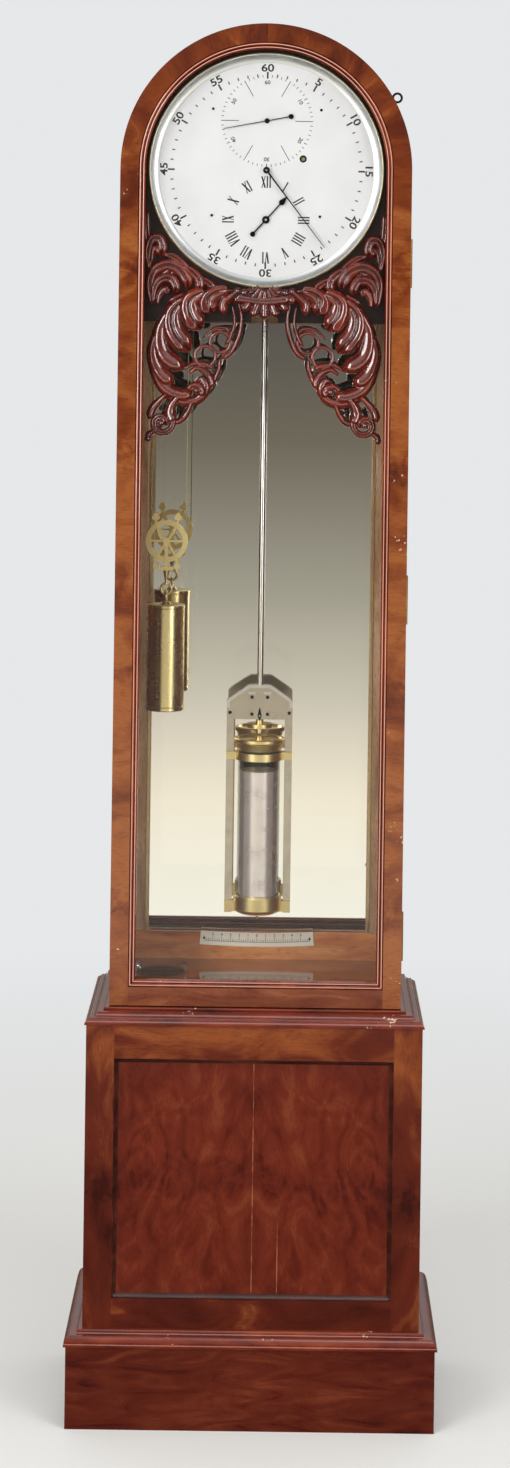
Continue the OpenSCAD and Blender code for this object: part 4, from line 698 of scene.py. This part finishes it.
# For each letter its width, in mm, and its strokes: x and share of the height at both ends, and thickness
STROKES = {"I": (3.7, [(0, 0, 0, 1, 1.8), (-1.2, 0, 1.2, 0, 0.6), (-1.2, 1, 1.2, 1, 0.6)]),
           "V": (6.4, [(-2.1, 1, 0, 0, 2.1), (2.1, 1, 0, 0, 1.0), (-3.1, 1, -1.1, 1, 0.6), (1.1, 1, 3.1, 1, 0.6)]),
           "X": (6.4, [(-2.1, 1, 2.1, 0, 2.1), (2.1, 1, -2.1, 0, 1.0), (-3.1, 1, -1.1, 1, 0.6),
                       (1.1, 1, 3.1, 1, 0.6), (-3.1, 0, -1.1, 0, 0.6), (1.1, 0, 3.1, 0, 0.6)])}


def roman(numeral, tall):
    """Outlines of a Roman numeral's thick and thin strokes and serifs, centred, `tall` high from the base line."""
    start = -sum(STROKES[letter][0] for letter in numeral) / 2
    outlines = []
    for letter in numeral:
        step, strokes = STROKES[letter]
        for x0, z0, x1, z1, thick in strokes:
            a = np.array([start + step / 2 + x0, z0 * tall])
            b = np.array([start + step / 2 + x1, z1 * tall])
            off = np.array([-(b - a)[1], (b - a)[0]]) / np.linalg.norm(b - a) * thick / 2
            outlines.append([a - off, a + off, b + off, b - off])
        start += step
    return np.array(outlines)


def figures(label, size, wide, bold):
    """A number as a flat mesh: points across, up and out, and faces, centred on its own middle."""
    data = bpy.data.curves.new("figures", "FONT")
    data.body = label
    data.extrude = 0.01
    data.offset = bold
    data.align_x = "CENTER"
    data.align_y = "CENTER"
    text = bpy.data.objects.new("figures", data)
    scene.collection.objects.link(text)
    seen = text.evaluated_get(bpy.context.evaluated_depsgraph_get())
    mesh = bpy.data.meshes.new_from_object(seen)
    points = np.empty(len(mesh.vertices) * 3)
    mesh.vertices.foreach_get("co", points)
    points = points.reshape(-1, 3)
    faces = [tuple(face.vertices) for face in mesh.polygons]
    points[:, :2] -= (points[:, :2].min(0) + points[:, :2].max(0)) / 2
    points *= (size * wide, size, 1)
    bpy.data.objects.remove(text)
    bpy.data.curves.remove(data)
    bpy.data.meshes.remove(mesh)
    return points, faces


def dial_marks():
    """The engraved and waxed marks: minutes with their numbers, a seconds ring and Roman hours, tops outward.

    Of each row of bars come its centre, its angles, its inner and outer radius and its width, and of each row of
    numbers its centre, radius, size, width and boldness, in mm. The marks stand 0.06 mm proud.
    """
    low, high = DIAL_FACE / MM - 0.06, DIAL_FACE / MM + 0.05
    middle, seconds, hours = (0, 0), (0, SUB_DIAL / MM), (0, -SUB_DIAL / MM)
    sixty = np.arange(60) * 6.0
    fives = sixty[::5]
    small = np.delete(sixty, np.arange(0, 60, 5))
    bars = [radial(middle, small, 122.8, 126.8, 1.5), radial(middle, fives, 120.5, 129.5, 2.2),
            radial(seconds, small, 57.2, 60.4, 0.8), radial(seconds, fives[::2], 56.2, 60.4, 1.0),
            radial(seconds, fives[1::2], 37.0, 60.4, 0.9)]
    bars += [on_ring(roman(numeral, 14.5), hours, 42.5, 30.0 * k) for k, numeral in enumerate(ROMAN)]
    pieces = [prisms(np.concatenate(bars), low, high)]
    for numbers, centre, radius, size, wide, bold in ((range(5, 65, 5), middle, 134.8, 13.6, 1.25, 0.022),
                                                      (range(10, 70, 10), seconds, 50.6, 7.0, 1.1, 0.02)):
        for number in numbers:
            points, faces = figures(str(number), size, wide, bold)
            ring = on_ring(points[:, :2], centre, radius, number * 6)
            depth = np.where(points[:, 2] > 0, low, high)
            pieces.append((np.stack([ring[:, 0], depth, ring[:, 1]], -1), faces))
    points, faces = gathered(pieces)
    made("dial_marks", points * MM + (0, 0, DIAL_Z), faces, WAX, "case")


def turned(profile, count):
    """A profile of radius and depth, in mm, turned once round the Y axis."""
    turn = circle(count)[:, None]
    shape = np.asarray(profile, float)
    grid = np.stack([shape[:, 0] * np.cos(turn), shape[:, 1] + 0 * turn, shape[:, 0] * np.sin(turn)], -1)
    return grid.reshape(-1, 3), [tuple(face) for face in ring_quads(*grid.shape[:2]).tolist()]


def eased(profile, ease=0.12):
    """A closed profile with each corner cut off `ease` mm away from it, and a second point at three times that."""
    corner = np.asarray(profile, float)
    points = []
    for step, reach in ((1, 3), (1, 1), (-1, 1), (-1, 3)):
        way = np.roll(corner, step, 0) - corner
        length = np.linalg.norm(way, axis=1)[:, None]
        points.append(corner + way / length * np.minimum(ease * reach, length * 0.1 * reach))
    return np.stack(points, 1).reshape(-1, 2)


def bezel_ring():
    """The bezel, turned: a hollow 0.7 mm deep sweeps out from the dial to a flat lip, and a wall runs back."""
    low, high = corners("bezel")
    front, back, outer = low[1] / MM, high[1] / MM, high[0] / MM
    u = np.linspace(0, 1, 14)
    inner = outer - 13
    sweep = np.stack([inner + (outer - 3 - inner) * u, front + 6.4 - 4.9 * u + 2.8 * u * (1 - u)], -1)
    wall = [(outer - 2, front), (outer - 0.8, front), (outer, front + 1), (outer, back), (outer - 2.3, back),
            (outer - 2.3, back - 2.2), (inner, back - 2.2)]
    hard = eased([sweep[0], sweep[-1], *wall])
    profile = np.concatenate([hard[:4], sweep[1:-1], hard[4:]])
    points, faces = turned(profile, 256)
    piece = made("bezel_ring", points * MM + (0, 0, DIAL_Z), faces, SILVERED_RIM, "case", smooth=True)
    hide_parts("bezel")


def turned_fitting(name, centre, profile, finish, body):
    """A small turned fitting on an axis across the dial; the profile is closed, and 0.05 mm clear of the axis."""
    points, faces = turned(eased(profile, 0.08), 40)
    place = np.array([centre[0], 0, centre[1]])
    made(name, (points + place) * MM, faces, finish, body, smooth=True)


def slotted_head(centre, radius, face, turn):
    """A slotted screw head in front of a face: a dome 0.9 mm high that falls as the square of the radius.

    The slot is 0.5 mm deep where the distance from its line, turned by `turn` degrees, is under 0.35 mm.
    """
    reach = np.concatenate([np.linspace(0.05, 1, 14), [1.0, 1.0]])[:, None] * radius
    angle = circle(48)[None, :]
    dome = 0.9 - 0.35 * (reach / radius) ** 2
    slot = 0.5 * (np.abs(reach * np.sin(angle - math.radians(turn))) < 0.35)
    depth = face - (dome - slot)
    depth[-2:] = face + np.array([[-0.05], [0.3]])
    grid = np.stack([centre[0] + reach * np.cos(angle), depth, centre[1] + reach * np.sin(angle)], -1)
    return skin(grid, 0 * depth)


# Caps and bright ends of the hands' arbors: side of the dial centre, radius and front in mm, finish, body and slot
ARBOR_CAPS = [("minute_cap", 0, 3.4, -57.4, BLUED, "minute_arbor", "blued_steel"),
              ("hour_cap", -1, 4.2, -54.7, BLUED, "hour_arbor", "blued_steel"),
              ("seconds_cap", 1, 2.8, -54.6, BLUED, "escape_arbor", "blued_steel"),
              ("minute_end", 0, 1.3, -58.2, SILVERED_RIM, "minute_arbor", "steel"),
              ("hour_end", -1, 1.6, -55.5, SILVERED_RIM, "hour_arbor", "steel")]


def dial_fittings():
    """Blued caps on the three hand arbors, two with the arbor's bright end, and the collar of the winding hole."""
    for name, side, radius, front, finish, body, slot in ARBOR_CAPS:
        cap = [(0.05, front - 1.0), (radius * 0.4, front - 1.0), (radius, front - 0.4), (radius, front + 0.3),
               (0.05, front + 0.3)]
        turned_fitting(name, (0, (DIAL_Z + side * SUB_DIAL) / MM), cap, finish, body)
    low, high = corners("barrel")
    arbor = np.array([low[0] + high[0], low[2] + high[2]]) / 2 / MM
    face = DIAL_FACE / MM
    collar = [(2.7, face - 0.5), (4.4, face - 0.5), (4.8, face), (4.8, face + 0.2), (2.7, face + 0.2)]
    turned_fitting("winding_collar", arbor, collar, BLUED, "case")


def pendulum_head():
    """The raised rim along the top of the frame's head, its two keeper plates, six screws and the pointed index.

    Lengths are in mm, down from the frame's top and up from the head's foot.
    """
    low, high = corners("pendulum_frame")
    face = (low[1] + high[1]) / 2 / MM - 6
    half, top = high[0] / MM, high[2] / MM
    foot = top - 46.7
    edge = np.array([(half, top - 30), (half, top - 21.5), (half - 4, top - 17.5), (0.43 * half, top - 3),
                     (0.43 * half - 5, top)])
    edge = np.concatenate([edge, (edge * (-1, 1))[::-1]])
    inner = (edge - (0, foot)) * 0.91 + (0, foot)
    rim = [[edge[k], edge[k + 1], inner[k + 1], inner[k]] for k in range(len(edge) - 1)]
    keepers = [[(x - 5, top - 12.5), (x + 5, top - 12.5), (x + 5, top - 9.5), (x - 5, top - 9.5)]
               for x in (-10.5, 10.5)]
    points, faces = prisms(rim + keepers, face - 1.1, face + 0.4)
    made("head_rim", points * MM, faces, STEEL, "pendulum")
    heads = [slotted_head((x, foot + z), 2.3, face, 35 + 9 * z) for x, z in
             ((-10.5, 30), (10.5, 30), (-10.5, 7), (10.5, 7), (-40, 9), (40, 9))]
    points, faces, _ = joined(heads)
    made("head_screws", points * MM, faces, BLUED, "pendulum", smooth=True)
    index = [[(-2.8, foot + 5), (2.8, foot + 5), (0.35, foot + 16), (-0.35, foot + 16)],
             [(-0.3, foot - 1.5), (0.3, foot - 1.5), (2.8, foot + 5), (-2.8, foot + 5)]]
    points, faces = prisms(index, face - 1.6, face + 0.4)
    made("rating_index", points * MM, faces, BLUED, "pendulum")
    stud = [(0.05, face - 2.1), (1.1, face - 2.1), (1.3, face - 1.8), (1.3, face), (0.05, face)]
    turned_fitting("index_stud", (0, foot + 5), stud, STEEL, "pendulum")


def bezel_bead():
    """A gilt bead of 0.9 mm radius let into the front edge of the bezel, 0.6 mm of it proud."""
    angle = circle(16)
    low, high = corners("bezel")
    profile = np.stack([high[0] / MM - 1.3 + 0.9 * np.cos(angle), low[1] / MM + 0.3 + 0.9 * np.sin(angle)], -1)
    points, faces = turned(profile, 192)
    made("bezel_bead", points * MM + (0, 0, DIAL_Z), faces, GILT, "case", smooth=True)


def gut_falls():
    """The two falls of the line: round tubes with points only at their ends, so that each stays straight.

    Their tops stand at the top of the CAD gut line and their feet at its foot.
    """
    low, high = corners("gut_line")
    radius = (high[1] - low[1]) / 2
    turn = circle(16)[None, :]
    heights = np.array([[low[2]], [high[2]]]) + 0 * turn
    falls = [np.stack([x + radius * np.cos(turn) + 0 * heights, low[1] + radius * (1 + np.sin(turn)) + 0 * heights,
                       heights], -1) for x in (low[0] + radius, high[0] - radius)]
    points, faces, _ = joined([skin(grid, heights) for grid in falls])
    piece = made("gut_falls", points, faces, GUT, None, smooth=True)
    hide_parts("gut_line")
    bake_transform(piece)


def mirror_fillet():
    """A gilt slip 3.2 mm wide and 1.4 mm proud on each side of the wood border, beside the mirror."""
    face = corners("mirror_border")[0][1] / MM
    low, high = (corner[2] / MM for corner in corners("mirror_glass"))
    slips = [[(side * x, z) for x, z in ((150.2, low + 30), (153.4, low + 30), (153.4, high), (150.2, high))]
             for side in (-1, 1)]
    points, faces = prisms(slips, face - 1.4, face + 0.5)
    made("mirror_fillet", points * MM, faces, GILT, "case")


BEAT_R = 1114  # mm from the pendulum's bending point to the beat scale
BEAT_LEAN = math.atan2(14, 19)


def beat_marks():
    """Engraved lines, ticks every 3 mm and numbers on the curved beat scale, which leans back on its rail.

    They are drawn flat, in mm across, up and out from the scale's foot, then dipped by the arc and leant back.
    """
    up = np.array([0, math.sin(BEAT_LEAN), math.cos(BEAT_LEAN)])
    out = np.array([0, -math.cos(BEAT_LEAN), math.sin(BEAT_LEAN)])
    low = corners("beat_rail")[0]
    start = np.array([0, low[1] / MM, low[2] / MM + 15])
    back, front = 1.1, 1.26
    sweep = np.linspace(-72, 72, 49)
    ticks = [[(x - 0.3, 8), (x + 0.3, 8), (x + 0.3, top), (x - 0.3, top)]
             for x, top in zip(sweep, np.where(np.arange(49) % 4 == 0, 14.5, 11.5))]
    line = [[(a, 7.6), (b, 7.6), (b, 8.1), (a, 8.1)] for a, b in zip(sweep[:-1], sweep[1:])]
    flat, faces = prisms(ticks + line, back, front)
    pieces = [(flat[:, [0, 2, 1]], faces)]
    for n in range(-5, 6):
        points, group = figures(str(abs(n)), 5.4, 1.0, 0.01)
        depth = np.where(points[:, 2] > 0, front, back)
        pieces.append((np.stack([points[:, 0] + 12 * n, points[:, 1] + 17.8, depth], -1), group))
    drawn, faces = gathered(pieces)
    dip = BEAT_R - np.sqrt(BEAT_R ** 2 - drawn[:, :1] ** 2)
    points = start + drawn[:, :1] * (1, 0, 0) + (drawn[:, 1:2] + dip) * up + drawn[:, 2:3] * out
    made("beat_scale_marks", points * MM, faces, WAX, "case")


carving()
dial_marks()
bezel_ring()
bezel_bead()
dial_fittings()
pendulum_head()
gut_falls()
mirror_fillet()
beat_marks()


# Camera, at the place and angle of the photograph
PHOTO_W = 510
PHOTO_H = 1468
CAMERA_AT = (0.0255, DOOR_FACE - 3.7, 1.442)
FOCAL_PX = 2842
STRAIGHT_AHEAD = (284, 310)
LEAN = math.radians(-0.78)


def place_camera():
    """A level camera whose shift brings the point straight ahead of it to its pixel of the frame."""
    data = bpy.data.cameras.new("camera")
    data.sensor_fit = "VERTICAL"
    data.sensor_height = 24
    data.lens = FOCAL_PX / PHOTO_H * data.sensor_height
    data.shift_x = (PHOTO_W / 2 - STRAIGHT_AHEAD[0]) / PHOTO_H
    data.shift_y = (STRAIGHT_AHEAD[1] - PHOTO_H / 2) / PHOTO_H
    data.clip_end = 100
    camera = bpy.data.objects.new("camera", data)
    camera.location = CAMERA_AT
    camera.rotation_mode = "XYZ"
    camera.rotation_euler = (math.pi / 2, LEAN, 0)
    scene.collection.objects.link(camera)
    bpy.context.scene.camera = camera


# Soft rectangular lamps: place, height of the point of the clock that they face, width and height, watts
LAMPS = {"key_lamp": ((-2.3, -3.3, 2.2), 1.1, (1.7, 2.8), 93), "fill_lamp": ((2.6, -2.9, 1.9), 1.0, (1.5, 2.8), 56),
         "top_lamp": ((0.2, -1.2, 4.0), 0.9, (2.0, 1.6), 34)}


def lamp(name, at, aim, size, power):
    """A soft rectangular lamp that faces the clock's middle line at a height."""
    data = bpy.data.lights.new(name, "AREA")
    data.shape = "RECTANGLE"
    data.size, data.size_y = size
    data.energy = power
    made = bpy.data.objects.new(name, data)
    made.location = at
    way = made.location - type(made.location)((0, 0, aim))
    made.rotation_euler = way.to_track_quat("Z", "Y").to_euler()
    scene.collection.objects.link(made)


BACKDROP = "#E6E8EA"


def studio_floor():
    """A pale floor 16 m across with the clock's shadow, which goes over into the backdrop from 0.8 to 2.6 m away.

    Gloss sees a glow painted on it instead, a painted reflection: dark near the clock, cream from 2.7 m away and
    greyer further off.
    """
    made, add = material("pale_studio_floor")
    place = add("TexCoord").outputs["Object"]
    away = add("VectorMath.LENGTH", links=[place]).outputs["Value"]
    far = add("MapRange", {"From": (0.8, 2.6)}, {"Value": away})
    rays = add("LightPath")
    reach = add("MapRange", {"From": (0.0, 10.0)}, {"Value": away})
    # What gloss sees of the floor is this glow: a painted reflection
    painted_floor_reflection = add("ValToRGB", links=[reach], stops=[
        (0.0, "#4E4A44"), (0.21, "#5E5952"), (0.27, "#FFFFF4"), (0.434, "#F9F2DF"), (0.548, "#E5DDCD"),
        (0.65, "#D1CCBF"), (0.79, "#C0BBAE")])
    grit = add("TexNoise", {"Scale": 400.0, "Detail": 2.0}, {"Vector": place})
    pale = add("ValToRGB", links=[grit], stops=[(0.3, "#D8D7D3"), (0.7, "#DCDBD7")])
    bump = add("Bump", {"Strength": 0.05, "Distance": 0.1 * MM}, {"Height": grit})
    lit = add("BsdfPrincipled", {"Roughness": 0.7}, {"Base Color": pale, "Normal": bump})
    sky = add("Emission", {"Color": linear(BACKDROP), "Strength": 1.0})
    fade = add("Math.MULTIPLY", links=[far, rays.outputs["Is Camera Ray"]])
    mixed = add("MixShader", links=[fade, lit, sky])
    seen = add("Emission", links={"Color": painted_floor_reflection})
    mixed = add("MixShader", links=[rays.outputs["Is Glossy Ray"], mixed, seen])
    add("OutputMaterial", links=[mixed])
    half = 8.0
    mesh = bpy.data.meshes.new("studio_floor")
    mesh.from_pydata([(-half, -half, 0), (half, -half, 0), (half, half, 0), (-half, half, 0)], [], [(0, 1, 2, 3)])
    mesh.materials.append(made)
    floor = bpy.data.objects.new("studio_floor", mesh)
    scene.collection.objects.link(floor)


def studio_world():
    """The room: pale to the camera, and for light and gloss dark at eye level and bright above, as a studio is."""
    world = bpy.data.worlds.new("studio")
    scene.world = world
    world.use_nodes = True
    world.node_tree.nodes.clear()
    add = partial(add_node, world.node_tree)
    way = add("TexCoord").outputs["Generated"]
    rise = add("SeparateXYZ", links=[way]).outputs[2]
    height = add("MapRange", {"From": (-1.0, 1.0)}, {"Value": rise})
    room = add("ValToRGB", links=[height], stops=[
        (0.4405, "#C0BBAE"), (0.4492, "#A9A699"), (0.4666, "#878378"), (0.4771, "#726D61"), (0.4965, "#5E5A55"),
        (0.51, "#5A5651"), (0.56, "#7E7B75"), (0.68, "#C9CACA"), (0.9, "#F4F5F6")])
    rays = add("LightPath")
    colour = add("Mix", {"data_type": "RGBA", 7: linear(BACKDROP)},
                 {0: rays.outputs["Is Camera Ray"], 6: room}).outputs[2]
    back = add("Background", {"Strength": 1.0}, {"Color": colour})
    add("OutputWorld", links=[back])


place_camera()
studio_floor()
studio_world()
for name, settings in LAMPS.items():
    lamp(name, *settings)
bpy.context.scene.view_settings.view_transform = "Standard"
